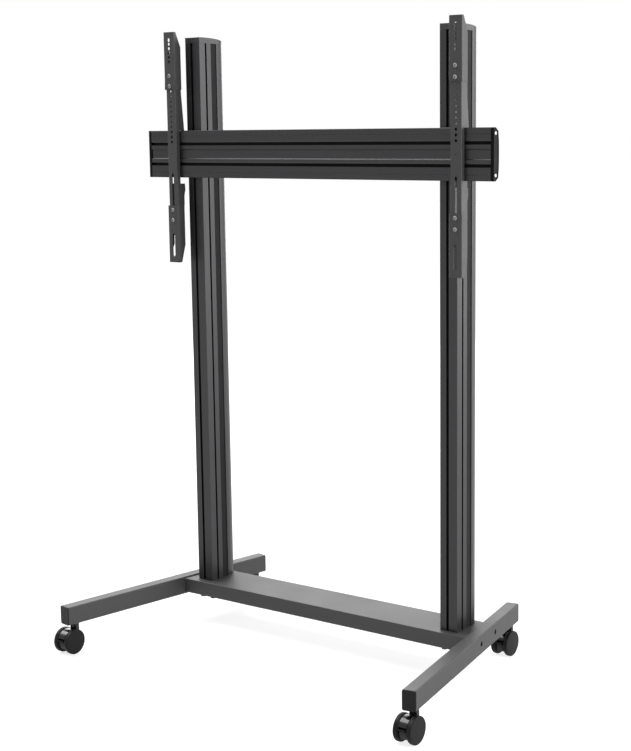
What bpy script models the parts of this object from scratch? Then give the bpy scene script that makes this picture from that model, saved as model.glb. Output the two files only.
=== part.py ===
"""Video conferencing cart: a splayed-leg base on twin-wheel casters, two slotted columns, a
height-adjustable rail and two hooked screen arms with extension brackets.

Metres, +Z up, the front is -Y and +X is the viewer's right. Run it with
blender --background --python part.py, or from the text editor.
"""

import math

import bmesh
import bpy
from mathutils import Matrix, Vector

# Clearances
TOUCH_GAP = 0.0003
RUNNING_GAP = 0.0004
CUT_OVER = 0.002

# Splayed base legs, box section
LEG_WIDTH = 0.042
LEG_HEIGHT = 0.059
LEG_WALL = 0.003
LEG_CORNER = 0.0036
LEG_FRONT = 0.542
LEG_REAR = 0.2848
LEG_SPLAY = math.radians(10.0)
LEG_OUTSET = 0.0803
LEG_CAP_PLATE = 0.003
LEG_CAP_PLUG = 0.016
LEG_CAP_WALL = 0.0025
LEG_CAP_CORNER = 0.005

# Crossbeam between the legs
BEAM_DEPTH = 0.159
BEAM_HEIGHT = 0.0476
BEAM_WALL = 0.003
BEAM_END_PLATE = 0.010
BEAM_DROP = 0.0044
BEAM_EDGE = 0.002

# Bolts that hold the legs to the beam, seen through access holes in the legs' outer walls
LEG_BOLT_SPACING = 0.1185
LEG_BOLT_OFFSET = 0.0126
LEG_BOLT_RISE = 0.032
LEG_BOLT_RADIUS = 0.004
LEG_BOLT_HEAD_RADIUS = 0.0065
LEG_BOLT_HEAD_LENGTH = 0.008
ACCESS_HOLE_RADIUS = 0.008

# Twin-wheel casters, trailing towards the front
CASTER_HEIGHT = 0.094
FRONT_CASTER_INSET = 0.037
REAR_CASTER_INSET = 0.033
CASTER_TRAIL = 0.025
WHEEL_RADIUS = 0.040
WHEEL_THICKNESS = 0.0155
WHEEL_EDGE = 0.0024
WHEEL_INNER_ROUND = 0.007
WHEEL_DOME = 0.0006
WHEEL_SEGMENTS = 28
WHEEL_FACE = 0.0025
FORK_WIDTH = 0.0264
HOOD_RADIUS = 0.0375
DRUM_RADIUS = 0.0335
DRUM_WIDTH = 0.0215
DRUM_FLOOR = 0.017
HOOD_LIP_RISE = 0.0145
NECK_RADIUS = 0.014
COLLAR_RADIUS = 0.0125
COLLAR_THICKNESS = 0.004
STEM_RADIUS = 0.0055
STEM_DROP = 0.024
STEM_RISE = 0.018
STEM_NUT_RADIUS = 0.010
STEM_NUT_HEIGHT = 0.007
AXLE_RADIUS = 0.004

# Brake pedal, a tongue in the front of each hood
PEDAL_RISE = 0.007
PEDAL_THICKNESS = 0.003
PEDAL_WIDTH = 0.022
PEDAL_REACH = 0.0205
PEDAL_OVERHANG = 0.002
PEDAL_BOSS = 0.0028
PEDAL_BAR_WIDTH = 0.0254
PEDAL_BAR_DEPTH = 0.0019
PEDAL_PIN_RADIUS = 0.0014
PEDAL_PIN_REACH = 0.0012
PEDAL_POCKET_UNDER = 0.0055
PEDAL_POCKET_OVER = 0.0065

# Columns, D-shaped extrusions with T-slots
COLUMN_WIDTH = 0.060
COLUMN_FLAT_DEPTH = 0.084
COLUMN_REAR_DEPTH = 0.048
COLUMN_CORNER = 0.0008
COLUMN_LENGTH = 1.781
COLUMN_SPACING = 0.972
COLUMN_FRONT_SETBACK = 0.0245
COLUMN_WALL = 0.0026
SLOT_MOUTH = 0.0076
FRONT_SLOT_MOUTH = 0.0089
FRONT_SLOT_SHIFT = -0.0035
SLOT_LIP = 0.0024
SLOT_CAVITY = 0.015
SLOT_DEPTH = 0.0065
SIDE_SLOT_BACK = 0.0305
CHANNEL_BACK = 0.068
CHANNEL_WIDTH = 0.027
CHANNEL_DEPTH = 0.0035
STRIP_THICKNESS = 0.0014
COLUMN_CAP_HEIGHT = 0.0178
COLUMN_CAP_LIP = 0.0025
COLUMN_CAP_EDGE = 0.0015
COLUMN_CAP_FLAT = 0.035
COLUMN_CAP_PLUG = 0.010

# Clamping plates under the beam, each with four long bolts up into a column
FOOT_PLATE_THICKNESS = 0.006
FOOT_PLATE_WIDTH = 0.058
FOOT_PLATE_MARGIN = 0.011
FOOT_BOLT_RADIUS = 0.004
FOOT_BOLT_HEAD = 0.0098
FOOT_BOLT_HEAD_HEIGHT = 0.012
FOOT_BOLT_GRIP = 0.030
FRONT_BOLT_X = 0.0215
FRONT_BOLT_BACK = 0.0115
REAR_BOLT_X = 0.0145
REAR_BOLT_BACK = 0.106

# Horizontal rail, an extrusion with two T-slots in front and one behind
RAIL_HEIGHT = 0.1505
RAIL_DEPTH = 0.028
RAIL_LENGTH = 1.2908
RAIL_CENTRE_HEIGHT = 1.5779
RAIL_TOP_FLAT = 0.010
RAIL_CHAMFER_DEPTH = 0.014
RAIL_CHAMFER_DROP = 0.010
RAIL_EDGE = 0.001
RAIL_SLOT_OFFSET = 0.0322
RAIL_SLOT_MOUTH = 0.0095
RAIL_LIP_HEIGHT = 0.005
RAIL_LIP_DEPTH = 0.0014
RAIL_REAR_MOUTH = 0.0085
RAIL_RECESS_HALF = 0.0157
RAIL_RECESS_SLOPE = 0.003
RAIL_RECESS_DEPTH = 0.0028
RAIL_LINE_OFFSET = 0.0577
RAIL_LINE_SIZE = 0.0005
RAIL_BACK_CURVE = 0.0009
RAIL_WALL = 0.003
RAIL_STANDOFF = 0.0038
RAIL_CAP_THICKNESS = 0.0105
RAIL_CAP_PLUG = 0.012
RAIL_CAP_RIM = 0.0028
RAIL_CAP_RECESS = 0.0012

# Clamps that carry the rail in the columns' front slots
CLAMP_HEIGHT = 0.140
CLAMP_WIDTH = 0.056

# Screen arms, hooked over the rail
ARM_OUTSET = 0.0545
ARM_WIDTH = 0.037
ARM_SHEET = 0.003
ARM_BEND = 0.0028
ARM_STANDOFF = 0.0163
ARM_TOP = 0.272
ARM_BOTTOM = 0.262
ARM_TOP_DEPTH = 0.0222
HOOK_REACH = 0.0397
HOOK_SHOULDER = 0.0023
HOOK_LIFT = 0.0197
LATCH_DEPTH = 0.0366
LATCH_BULGE = 0.0383
LATCH_BULGE_DROP = 0.0185
LATCH_END_DROP = 0.040
ARM_LOW_DEPTH = 0.0331
ARM_TAIL_DEPTH = 0.0275
ARM_TAIL_DROP = 0.075
ARM_HOLE_PITCH = 0.0161
ARM_HOLE_FIRST = 0.0384
ARM_HOLE_COUNT = 14
ARM_HOLE_RADIUS = 0.0033
ARM_LARGE_HOLES = 3
ARM_LARGE_RADIUS = 0.0046
ARM_PILOT_RADIUS = 0.0019
ARM_SLOT_WIDTH = 0.0076
ARM_SLOT_TOP = 0.0616
ARM_SLOT_LENGTH = 0.1714
ARM_RELIEF_START = 0.0771
ARM_RELIEF_MIDDLE = 0.2011
ARM_RELIEF_DEPTH = 0.016
ARM_RELIEF_TIP = 0.0038

# Extension brackets, wider channels over the arms' ends
BRACKET_DEPTH = 0.0315
UPPER_BRACKET_BOTTOM = 0.2045
UPPER_BRACKET_LENGTH = 0.1816
UPPER_TIP_DEPTH = 0.010
UPPER_TAPER = 0.047
UPPER_RELIEF = 0.080
UPPER_RELIEF_KNEE = 0.046
UPPER_RELIEF_DEPTH = 0.0165
UPPER_HOLES = 6
UPPER_HOLE_PITCH = 0.01386
UPPER_HOLE_INSET = 0.0239
UPPER_HOLE_RADIUS = 0.0050
UPPER_TOP_HOLE_STRETCH = 0.0026
LOWER_BRACKET_TOP = 0.1656
LOWER_BRACKET_LENGTH = 0.1848
LOWER_TIP_DEPTH = 0.0136
LOWER_TAPER = 0.057
LOWER_RELIEF_DEPTH = 0.0240
LOWER_RELIEF_TIP = 0.0038
LOWER_RELIEF_START = 0.017
LOWER_RELIEF_END = 0.060
LOWER_SLOT_LENGTH = 0.075
LOWER_SLOT_WIDTH = 0.0102
LOWER_SLOT_RISE = 0.0198
LOWER_SCREW_INSET = 0.0143
LOWER_SCREW_PITCH = 0.0326
UPPER_SCREW_HOLES = (11, 13)

# Screws with a nut behind, through a bracket and its arm
SCREW_RADIUS = 0.003
SCREW_HEAD_RADIUS = 0.0065
SCREW_HEAD_HEIGHT = 0.0036
SCREW_NUT_RADIUS = 0.0058
SCREW_NUT_HEIGHT = 0.005
SCREW_SOCKET_RADIUS = 0.0023
SCREW_SOCKET_DEPTH = 0.002

LEFT = -1
RIGHT = 1
SIDE_NAMES = {LEFT: "left", RIGHT: "right"}
ENDS = ("front", "rear")

# Heights and places worked out from the sizes above
LEG_CENTRE_X = COLUMN_SPACING / 2 + LEG_OUTSET
LEG_TOP = CASTER_HEIGHT + LEG_HEIGHT
BEAM_TOP = LEG_TOP - BEAM_DROP
BEAM_BOTTOM = BEAM_TOP - BEAM_HEIGHT
ARM_CENTRE_X = COLUMN_SPACING / 2 + ARM_OUTSET
COLUMN_DEPTH = COLUMN_FLAT_DEPTH + COLUMN_REAR_DEPTH
COLUMN_FRONT = -BEAM_DEPTH / 2 + COLUMN_FRONT_SETBACK
COLUMN_FOOT = BEAM_TOP + TOUCH_GAP
COLUMN_TOP = COLUMN_FOOT + COLUMN_LENGTH
RAIL_REAR = COLUMN_FRONT - RAIL_STANDOFF
RAIL_FRONT = RAIL_REAR - RAIL_DEPTH
ARM_FACE = RAIL_FRONT - ARM_STANDOFF
BRACKET_FACE = ARM_FACE - ARM_SHEET - TOUCH_GAP
BRACKET_WIDTH = ARM_WIDTH + 2 * (ARM_SHEET + TOUCH_GAP)
FORK_HALF = FORK_WIDTH / 2


def leg_stem_along(end):
    """Distance of a caster's stem along the leg from the beam's middle line, to the rear."""
    if end == "front":
        return -(LEG_FRONT - FRONT_CASTER_INSET)
    return LEG_REAR - REAR_CASTER_INSET


def leg_point(side, along, across=0.0):
    """World X and Y, before the base is centred, of a point given along and across a leg."""
    x = side * LEG_CENTRE_X - side * math.sin(LEG_SPLAY) * along + side * math.cos(LEG_SPLAY) * across
    y = math.cos(LEG_SPLAY) * along + math.sin(LEG_SPLAY) * across
    return x, y


def base_centre_y():
    """Middle of the part's footprint, front wheels to rear leg caps."""
    front = leg_point(RIGHT, leg_stem_along("front"))[1] - CASTER_TRAIL - wheel_rim()
    rear = leg_point(RIGHT, LEG_REAR, LEG_WIDTH / 2)[1]
    return (front + rear) / 2


def wheel_rim():
    """Corner radius of the faceted wheel that stands on a flat facet at WHEEL_RADIUS."""
    return WHEEL_RADIUS / math.cos(math.pi / WHEEL_SEGMENTS)


# Scene helpers


def clear_scene():
    for obj in list(bpy.data.objects):
        bpy.data.objects.remove(obj, do_unlink=True)


def new_collection(name, helper=False):
    collection = bpy.data.collections.new(name)
    bpy.context.scene.collection.children.link(collection)
    collection.hide_render = helper
    return collection


def new_material(name, colour, roughness, metallic):
    material = bpy.data.materials.new(name)
    material.use_nodes = True
    shader = material.node_tree.nodes["Principled BSDF"]
    shader.inputs["Base Color"].default_value = (*colour, 1.0)
    shader.inputs["Roughness"].default_value = roughness
    shader.inputs["Metallic"].default_value = metallic
    material.diffuse_color = (*colour, 1.0)
    return material


def make_materials():
    return {
        "anodised": new_material("anodised", (0.050, 0.050, 0.052), 0.38, 0.75),
        "leg_coat": new_material("leg_coat", (0.075, 0.075, 0.077), 0.45, 0.30),
        "arm_coat": new_material("arm_coat", (0.060, 0.060, 0.061), 0.50, 0.20),
        "dark_plastic": new_material("dark_plastic", (0.026, 0.026, 0.027), 0.50, 0.0),
        "strip_plastic": new_material("strip_plastic", (0.030, 0.030, 0.031), 0.60, 0.0),
        "caster_gloss": new_material("caster_gloss", (0.010, 0.010, 0.011), 0.18, 0.0),
        "wheel_plastic": new_material("wheel_plastic", (0.028, 0.028, 0.029), 0.45, 0.0),
        "bright_steel": new_material("bright_steel", (0.55, 0.55, 0.56), 0.30, 1.0),
        "dark_steel": new_material("dark_steel", (0.10, 0.10, 0.10), 0.40, 0.9),
    }


class Builder:
    """Holds the two collections and the materials while the cart is put together."""

    def __init__(self):
        self.parts = new_collection("cart_parts")
        self.cutters = new_collection("cutters", helper=True)
        self.materials = make_materials()

    def empty(self, name, location=(0, 0, 0), parent=None, turn=0.0):
        obj = bpy.data.objects.new(name, None)
        obj.empty_display_size = 0.03
        obj.location = location
        obj.rotation_euler.z = turn
        obj.parent = parent
        self.parts.objects.link(obj)
        return obj

    def node(self, name, mesh, material, parent, location=(0, 0, 0), smooth=False):
        obj = bpy.data.objects.new(name, mesh)
        obj.location = location
        obj.parent = parent
        mesh.materials.append(self.materials[material])
        if smooth:
            mesh.shade_smooth()
            mesh.set_sharp_from_angle(angle=math.radians(35))
        self.parts.objects.link(obj)
        return obj

    def cutter(self, name, mesh, parent, location=(0, 0, 0)):
        obj = bpy.data.objects.new(name, mesh)
        obj.location = location
        obj.parent = parent
        obj.display_type = "WIRE"
        obj.hide_render = True
        self.cutters.objects.link(obj)
        return obj

    def combine(self, obj, mesh, operation="DIFFERENCE", location=None):
        """Adds a Boolean with a helper that stands where the object stands."""
        place = obj.location.copy() if location is None else location
        helper = self.cutter(f"{obj.name}_{operation.lower()}_{len(obj.modifiers)}", mesh, obj.parent, place)
        modifier = obj.modifiers.new(operation.title(), "BOOLEAN")
        modifier.operation = operation
        modifier.solver = "EXACT"
        modifier.object = helper
        return obj


# Mesh makers


def finished(bm, name):
    """Turns a bmesh into a mesh with its seams closed and its faces out."""
    bmesh.ops.remove_doubles(bm, verts=bm.verts, dist=1e-6)
    bmesh.ops.recalc_face_normals(bm, faces=bm.faces)
    mesh = bpy.data.meshes.new(name)
    bm.to_mesh(mesh)
    bm.free()
    return mesh


def add_box(bm, low, high, matrix=None):
    """A box between two corners, from the cube primitive."""
    low, high = Vector(low), Vector(high)
    place = Matrix.Translation((low + high) / 2) @ Matrix.Diagonal((*(high - low), 1.0))
    bmesh.ops.create_cube(bm, size=1.0, matrix=place if matrix is None else matrix @ place)


AXIS_TURNS = {
    "X": Matrix.Rotation(math.pi / 2, 4, "Y"),
    "Y": Matrix.Rotation(-math.pi / 2, 4, "X"),
    "Z": Matrix.Identity(4),
}


def add_rod(bm, axis, start, length, radius, segments, turn=0.0):
    """A capped cylinder from a start point along +X, +Y or +Z."""
    place = Matrix.Translation(start) @ AXIS_TURNS[axis] @ Matrix.Rotation(turn, 4, "Z")
    place = place @ Matrix.Translation((0, 0, length / 2))
    bmesh.ops.create_cone(
        bm, cap_ends=True, segments=segments, radius1=radius, radius2=radius, depth=length, matrix=place
    )


def boxes(name, corners):
    bm = bmesh.new()
    for low, high in corners:
        add_box(bm, low, high)
    return finished(bm, name)


# Maps a flat outline's (u, v) and its thickness w to world directions
FRAMES = {
    "plan": Matrix.Identity(4),
    "side": Matrix(((0, 0, 1, 0), (1, 0, 0, 0), (0, 1, 0, 0), (0, 0, 0, 1))),
    "front": Matrix(((1, 0, 0, 0), (0, 0, -1, 0), (0, 1, 0, 0), (0, 0, 0, 1))),
}


def outline_mesh(name, loops, start, length, frame="plan"):
    """A flat outline, with its inner loops as holes, made thick from start along the third axis."""
    curve = bpy.data.curves.new(name, "CURVE")
    curve.dimensions = "2D"
    curve.fill_mode = "BOTH"
    curve.extrude = length / 2
    for loop in loops:
        spline = curve.splines.new("POLY")
        spline.points.add(len(loop) - 1)
        for point, (u, v) in zip(spline.points, loop):
            point.co = (u, v, 0.0, 1.0)
        spline.use_cyclic_u = True
    holder = bpy.data.objects.new(name, curve)
    bpy.context.scene.collection.objects.link(holder)
    graph = bpy.context.evaluated_depsgraph_get()
    flat = bpy.data.meshes.new_from_object(holder.evaluated_get(graph))
    bm = bmesh.new()
    bm.from_mesh(flat)
    bpy.data.objects.remove(holder, do_unlink=True)
    bpy.data.curves.remove(curve)
    bpy.data.meshes.remove(flat)
    bm.transform(FRAMES[frame] @ Matrix.Translation((0, 0, start + length / 2)))
    return finished(bm, name)


def arc(centre, radius, start, end, steps, rise=None):
    """Points of an arc, or of an ellipse's when its vertical radius is given."""
    tall = radius if rise is None else rise
    angles = [math.radians(start + (end - start) * i / steps) for i in range(steps + 1)]
    return [(centre[0] + radius * math.cos(a), centre[1] + tall * math.sin(a)) for a in angles]


def rounded_box(width, height, radius, steps=3, centre=(0.0, 0.0)):
    """A rectangle's outline with round corners."""
    x, y = width / 2 - radius, height / 2 - radius
    points = []
    for i, (sx, sy) in enumerate(((1, 1), (-1, 1), (-1, -1), (1, -1))):
        corner = (centre[0] + sx * x, centre[1] + sy * y)
        points += arc(corner, radius, 90 * i, 90 * i + 90, steps)
    return points


def stadium(width, low, high, steps=6):
    """A slot's outline with round ends, standing between two heights."""
    radius = width / 2
    return arc((0, high - radius), radius, 0, 180, steps) + arc((0, low + radius), radius, 180, 360, steps)


def t_slot(mouth, lip=None, cavity=None, depth=None):
    """Offset and depth pairs of a T-slot, for notched_edge."""
    lip = SLOT_LIP if lip is None else lip
    cavity = SLOT_CAVITY if cavity is None else cavity
    floor = lip + (SLOT_DEPTH if depth is None else depth)
    half = [(mouth / 2, 0), (mouth / 2, lip), (cavity / 2, lip), (cavity / 2, floor)]
    return [(-u, v) for u, v in half] + half[::-1]


def notched_edge(start, end, notches):
    """An outline's straight edge with notches cut to its left; leaves out the end point."""
    start, end = Vector(start), Vector(end)
    along = (end - start).normalized()
    inward = Vector((-along.y, along.x))
    points = [start]
    for centre, pairs in notches:
        points += [start + along * (centre + offset) + inward * deep for offset, deep in pairs]
    return [tuple(point) for point in points]


def turned(builder, name, profile, material, parent, location, segments, axis="X", turn=0.0):
    """A turned piece: its (distance along the axis, radius) profile with a Screw modifier."""
    bm = bmesh.new()
    points = []
    for along, radius in profile:
        place = (along, 0.0, radius) if axis == "X" else (radius, 0.0, along)
        points.append(bm.verts.new(place))
    for first, second in zip(points, points[1:]):
        bm.edges.new((first, second))
    bmesh.ops.rotate(bm, verts=bm.verts, cent=(0, 0, 0), matrix=Matrix.Rotation(turn, 3, axis))
    mesh = bpy.data.meshes.new(name)
    bm.to_mesh(mesh)
    bm.free()
    obj = builder.node(name, mesh, material, parent, location)
    screw = obj.modifiers.new("Turn", "SCREW")
    screw.axis = axis
    screw.steps = segments
    screw.render_steps = segments
    screw.use_merge_vertices = True
    screw.merge_threshold = 0.00001
    screw.use_smooth_shade = True
    screw.use_normal_calculate = True
    screw.use_normal_flip = axis == "Z"
    return obj


# Base


def leg_section():
    outer = rounded_box(LEG_WIDTH, LEG_HEIGHT, LEG_CORNER, 3, (0, CASTER_HEIGHT + LEG_HEIGHT / 2))
    inner = rounded_box(
        LEG_WIDTH - 2 * LEG_WALL, LEG_HEIGHT - 2 * LEG_WALL, LEG_CORNER / 3, 1, (0, CASTER_HEIGHT + LEG_HEIGHT / 2)
    )
    return outer, inner


def leg_bolt_places():
    """Distances along a leg of its two bolts."""
    return [LEG_BOLT_OFFSET + step * LEG_BOLT_SPACING / 2 for step in (-1, 1)]


def build_leg(builder, side, frame):
    tube_start = -LEG_FRONT + LEG_CAP_PLATE + TOUCH_GAP
    tube_end = LEG_REAR - LEG_CAP_PLATE - TOUCH_GAP
    mesh = outline_mesh("leg", leg_section(), -tube_end, tube_end - tube_start, "front")
    leg = builder.node(f"{SIDE_NAMES[side]}_leg", mesh, "leg_coat", frame, smooth=True)
    holes = bmesh.new()
    drill = LEG_WALL + 2 * CUT_OVER
    for along in leg_bolt_places():
        for way, radius in ((side, ACCESS_HOLE_RADIUS), (-side, LEG_BOLT_RADIUS + TOUCH_GAP)):
            middle = way * (LEG_WIDTH - LEG_WALL) / 2
            place = (middle - drill / 2, along, CASTER_HEIGHT + LEG_BOLT_RISE)
            add_rod(holes, "X", place, drill, radius, 16)
    for end in ENDS:
        place = (0, leg_stem_along(end), CASTER_HEIGHT - CUT_OVER)
        add_rod(holes, "Z", place, drill, STEM_RADIUS + TOUCH_GAP, 16)
    builder.combine(leg, finished(holes, "leg_holes"))
    for end in ENDS:
        build_leg_cap(builder, side, end, frame)


def build_leg_cap(builder, side, end, frame):
    """A plug-in end cap: a plate the size of the leg's section with a hollow plug behind it."""
    middle = CASTER_HEIGHT + LEG_HEIGHT / 2
    sign = -1 if end == "front" else 1
    face = -LEG_FRONT if end == "front" else LEG_REAR
    plate = rounded_box(LEG_WIDTH, LEG_HEIGHT, LEG_CAP_CORNER, 3, (0, middle))
    start = -max(face, face - sign * LEG_CAP_PLATE)
    cap = builder.node(
        f"{SIDE_NAMES[side]}_{end}_leg_cap",
        outline_mesh("leg_cap", [plate], start, LEG_CAP_PLATE, "front"),
        "dark_plastic",
        frame,
        smooth=True,
    )
    plug_width = LEG_WIDTH - 2 * LEG_WALL - 2 * TOUCH_GAP
    plug_height = LEG_HEIGHT - 2 * LEG_WALL - 2 * TOUCH_GAP
    plug = rounded_box(plug_width, plug_height, LEG_CORNER / 2, 1, (0, middle))
    hollow = rounded_box(plug_width - 2 * LEG_CAP_WALL, plug_height - 2 * LEG_CAP_WALL, LEG_CORNER / 3, 1, (0, middle))
    length = LEG_CAP_PLUG + LEG_CAP_PLATE / 2
    inner_end = face - sign * (LEG_CAP_PLATE + LEG_CAP_PLUG)
    start = -max(inner_end, inner_end + sign * length)
    builder.combine(cap, outline_mesh("leg_plug", [plug, hollow], start, length, "front"), "UNION")


def build_leg_bolts(builder, side, frame):
    """Socket-head bolts on the leg's inner wall, threaded into the beam's end plate."""
    height = CASTER_HEIGHT + LEG_BOLT_RISE
    inner_wall = -side * (LEG_WIDTH / 2 - LEG_WALL - TOUCH_GAP)
    reach = LEG_WALL + 2 * TOUCH_GAP + BEAM_END_PLATE
    for end, along in zip(ENDS, leg_bolt_places()):
        bm = bmesh.new()
        head = inner_wall if side == RIGHT else inner_wall - LEG_BOLT_HEAD_LENGTH
        add_rod(bm, "X", (head, along, height), LEG_BOLT_HEAD_LENGTH, LEG_BOLT_HEAD_RADIUS, 14)
        bolt = builder.node(
            f"{SIDE_NAMES[side]}_{end}_leg_bolt", finished(bm, "leg_bolt"), "dark_steel", frame, smooth=True
        )
        shank = bmesh.new()
        overlap = LEG_BOLT_HEAD_LENGTH / 2
        start = inner_wall - reach if side == RIGHT else inner_wall - overlap
        add_rod(shank, "X", (start, along, height), reach + overlap, LEG_BOLT_RADIUS, 12)
        builder.combine(bolt, finished(shank, "leg_bolt_shank"), "UNION")
        socket = bmesh.new()
        depth = LEG_BOLT_HEAD_LENGTH / 2
        outer = inner_wall + side * LEG_BOLT_HEAD_LENGTH
        start = outer - depth if side == RIGHT else outer - CUT_OVER
        add_rod(socket, "X", (start, along, height), depth + CUT_OVER, LEG_BOLT_HEAD_RADIUS / 2, 6)
        builder.combine(bolt, finished(socket, "leg_bolt_socket"))


def beam_plan(gap, half_depth):
    """The beam's plan: a trapezium whose ends run along the legs' inner faces, drawn back by a gap."""
    corners = []
    slope = math.tan(LEG_SPLAY)
    inner_x = LEG_CENTRE_X - (LEG_WIDTH / 2 + gap) / math.cos(LEG_SPLAY)
    for sx, sy in ((1, 1), (-1, 1), (-1, -1), (1, -1)):
        y = sy * half_depth
        corners.append((sx * (inner_x - slope * y), y))
    return corners


def build_beam(builder, cart):
    """The mitred box beam, with thick end plates for the leg bolts and holes for the column bolts."""
    outer = outline_mesh("beam", [beam_plan(TOUCH_GAP, BEAM_DEPTH / 2)], BEAM_BOTTOM, BEAM_HEIGHT)
    bm = bmesh.new()
    bm.from_mesh(outer)
    bpy.data.meshes.remove(outer)
    long_edges = [
        edge
        for edge in bm.edges
        if abs(edge.verts[0].co.y - edge.verts[1].co.y) < 1e-6
        and abs(edge.verts[0].co.z - edge.verts[1].co.z) < 1e-6
        and edge.calc_face_angle(0.0) > 0.5
    ]
    bmesh.ops.bevel(bm, geom=long_edges, offset=BEAM_EDGE, segments=2, profile=0.5, affect="EDGES")
    beam = builder.node("crossbeam", finished(bm, "beam"), "leg_coat", cart, smooth=True)
    hollow = [beam_plan(TOUCH_GAP + BEAM_END_PLATE, BEAM_DEPTH / 2 - BEAM_WALL)]
    builder.combine(
        beam, outline_mesh("beam_hollow", hollow, BEAM_BOTTOM + BEAM_WALL, BEAM_HEIGHT - 2 * BEAM_WALL)
    )
    drills = bmesh.new()
    for side in (LEFT, RIGHT):
        for x, y in foot_bolt_places(side):
            place = (x, y, BEAM_BOTTOM - CUT_OVER)
            add_rod(drills, "Z", place, BEAM_HEIGHT + 2 * CUT_OVER, FOOT_BOLT_RADIUS + TOUCH_GAP, 12)
        turn = Matrix.Rotation(side * LEG_SPLAY, 4, "Z")
        for along in leg_bolt_places():
            x, y = leg_point(side, along)
            length = LEG_WIDTH / 2 + BEAM_END_PLATE + 2 * CUT_OVER
            middle = Matrix.Translation((x, y, CASTER_HEIGHT + LEG_BOLT_RISE)) @ turn
            middle = middle @ Matrix.Translation((-side * length / 2, 0, 0)) @ AXIS_TURNS["X"]
            bmesh.ops.create_cone(
                drills,
                cap_ends=True,
                segments=12,
                radius1=LEG_BOLT_RADIUS + TOUCH_GAP,
                radius2=LEG_BOLT_RADIUS + TOUCH_GAP,
                depth=length,
                matrix=middle,
            )
    builder.combine(beam, finished(drills, "beam_drills"))


# Columns


def column_x(side):
    return side * COLUMN_SPACING / 2


def foot_bolt_places(side):
    """X and Y of the four bolts that hold a column."""
    places = []
    for x, back in ((FRONT_BOLT_X, FRONT_BOLT_BACK), (REAR_BOLT_X, REAR_BOLT_BACK)):
        places += [(column_x(side) + sign * x, COLUMN_FRONT + back) for sign in (-1, 1)]
    return places


def column_outline(slots=True, shrink=0.0):
    """The D-shaped plan from the front face at v = 0, with T-slots and strip channels if asked."""
    half = COLUMN_WIDTH / 2 - shrink
    corner = COLUMN_CORNER
    channel = CHANNEL_WIDTH / 2
    side_notches = [
        (SIDE_SLOT_BACK - corner, t_slot(SLOT_MOUTH)),
        (
            CHANNEL_BACK - corner,
            [(-channel, 0), (-channel, CHANNEL_DEPTH), (channel, CHANNEL_DEPTH), (channel, 0)],
        ),
    ]
    run = COLUMN_FLAT_DEPTH - corner
    mirrored = [(run - centre, pairs) for centre, pairs in reversed(side_notches)]
    front = [(COLUMN_WIDTH / 2 - corner + FRONT_SLOT_SHIFT, t_slot(FRONT_SLOT_MOUTH))] if slots else []
    points = arc((-half + corner, shrink + corner), corner, 180, 270, 3)[:-1]
    points += notched_edge((-half + corner, shrink), (half - corner, shrink), front)
    points += arc((half - corner, shrink + corner), corner, 270, 360, 3)[:-1]
    points += notched_edge((half, shrink + corner), (half, COLUMN_FLAT_DEPTH), side_notches if slots else [])
    points += arc((0, COLUMN_FLAT_DEPTH), half, 0, 180, 14, COLUMN_REAR_DEPTH - shrink)[:-1]
    points += notched_edge((-half, COLUMN_FLAT_DEPTH), (-half, shrink + corner), mirrored if slots else [])
    return points


def column_cavity(shrink=0.0):
    """The closed chamber inside a column, clear of its slots; shrink draws it in for the cap's plug."""
    floor = SLOT_LIP + SLOT_DEPTH + COLUMN_WALL
    narrow = COLUMN_WIDTH / 2 - floor - shrink
    wide = COLUMN_WIDTH / 2 - CHANNEL_DEPTH - COLUMN_WALL - shrink
    shoulder = CHANNEL_BACK - CHANNEL_WIDTH / 2
    front = floor + shrink
    back = [
        (x, y)
        for x, y in arc((0, COLUMN_FLAT_DEPTH), wide, 0, 180, 12, COLUMN_REAR_DEPTH - COLUMN_WALL - shrink)
    ]
    right = [(narrow, front), (narrow, shoulder - COLUMN_WALL), (wide, shoulder + COLUMN_WALL + shrink)]
    left = [(-x, y) for x, y in reversed(right)]
    return right + back + left


def circle(centre, radius, steps):
    return arc(centre, radius, 0, 360 - 360 / steps, steps - 1)


def build_column(builder, side, cart):
    place = (column_x(side), COLUMN_FRONT, 0)
    screw_ways = [
        circle((x - column_x(side), y - COLUMN_FRONT), FOOT_BOLT_RADIUS + TOUCH_GAP, 10)
        for x, y in foot_bolt_places(side)
        if y - COLUMN_FRONT < COLUMN_FLAT_DEPTH
    ]
    loops = [column_outline(), column_cavity(), *screw_ways]
    name = SIDE_NAMES[side]
    mesh = outline_mesh("column", loops, COLUMN_FOOT, COLUMN_LENGTH)
    builder.node(f"{name}_column", mesh, "anodised", cart, place, smooth=True)
    build_side_strips(builder, side, cart, place)
    build_column_cap(builder, side, cart, place)
    build_foot_plate(builder, side, cart)


def build_side_strips(builder, side, cart, place):
    """Snap-in cover strips, lying on the floors of the side channels."""
    width = CHANNEL_WIDTH - 2 * TOUCH_GAP
    floor = COLUMN_WIDTH / 2 - CHANNEL_DEPTH + TOUCH_GAP
    for way, word in ((-1, "outer" if side == LEFT else "inner"), (1, "outer" if side == RIGHT else "inner")):
        low, high = sorted((way * floor, way * (floor + STRIP_THICKNESS)))
        mesh = boxes(
            "side_strip",
            [
                (
                    (low, CHANNEL_BACK - width / 2, COLUMN_FOOT),
                    (high, CHANNEL_BACK + width / 2, COLUMN_TOP),
                )
            ],
        )
        builder.node(f"{SIDE_NAMES[side]}_column_{word}_strip", mesh, "strip_plastic", cart, place)


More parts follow.
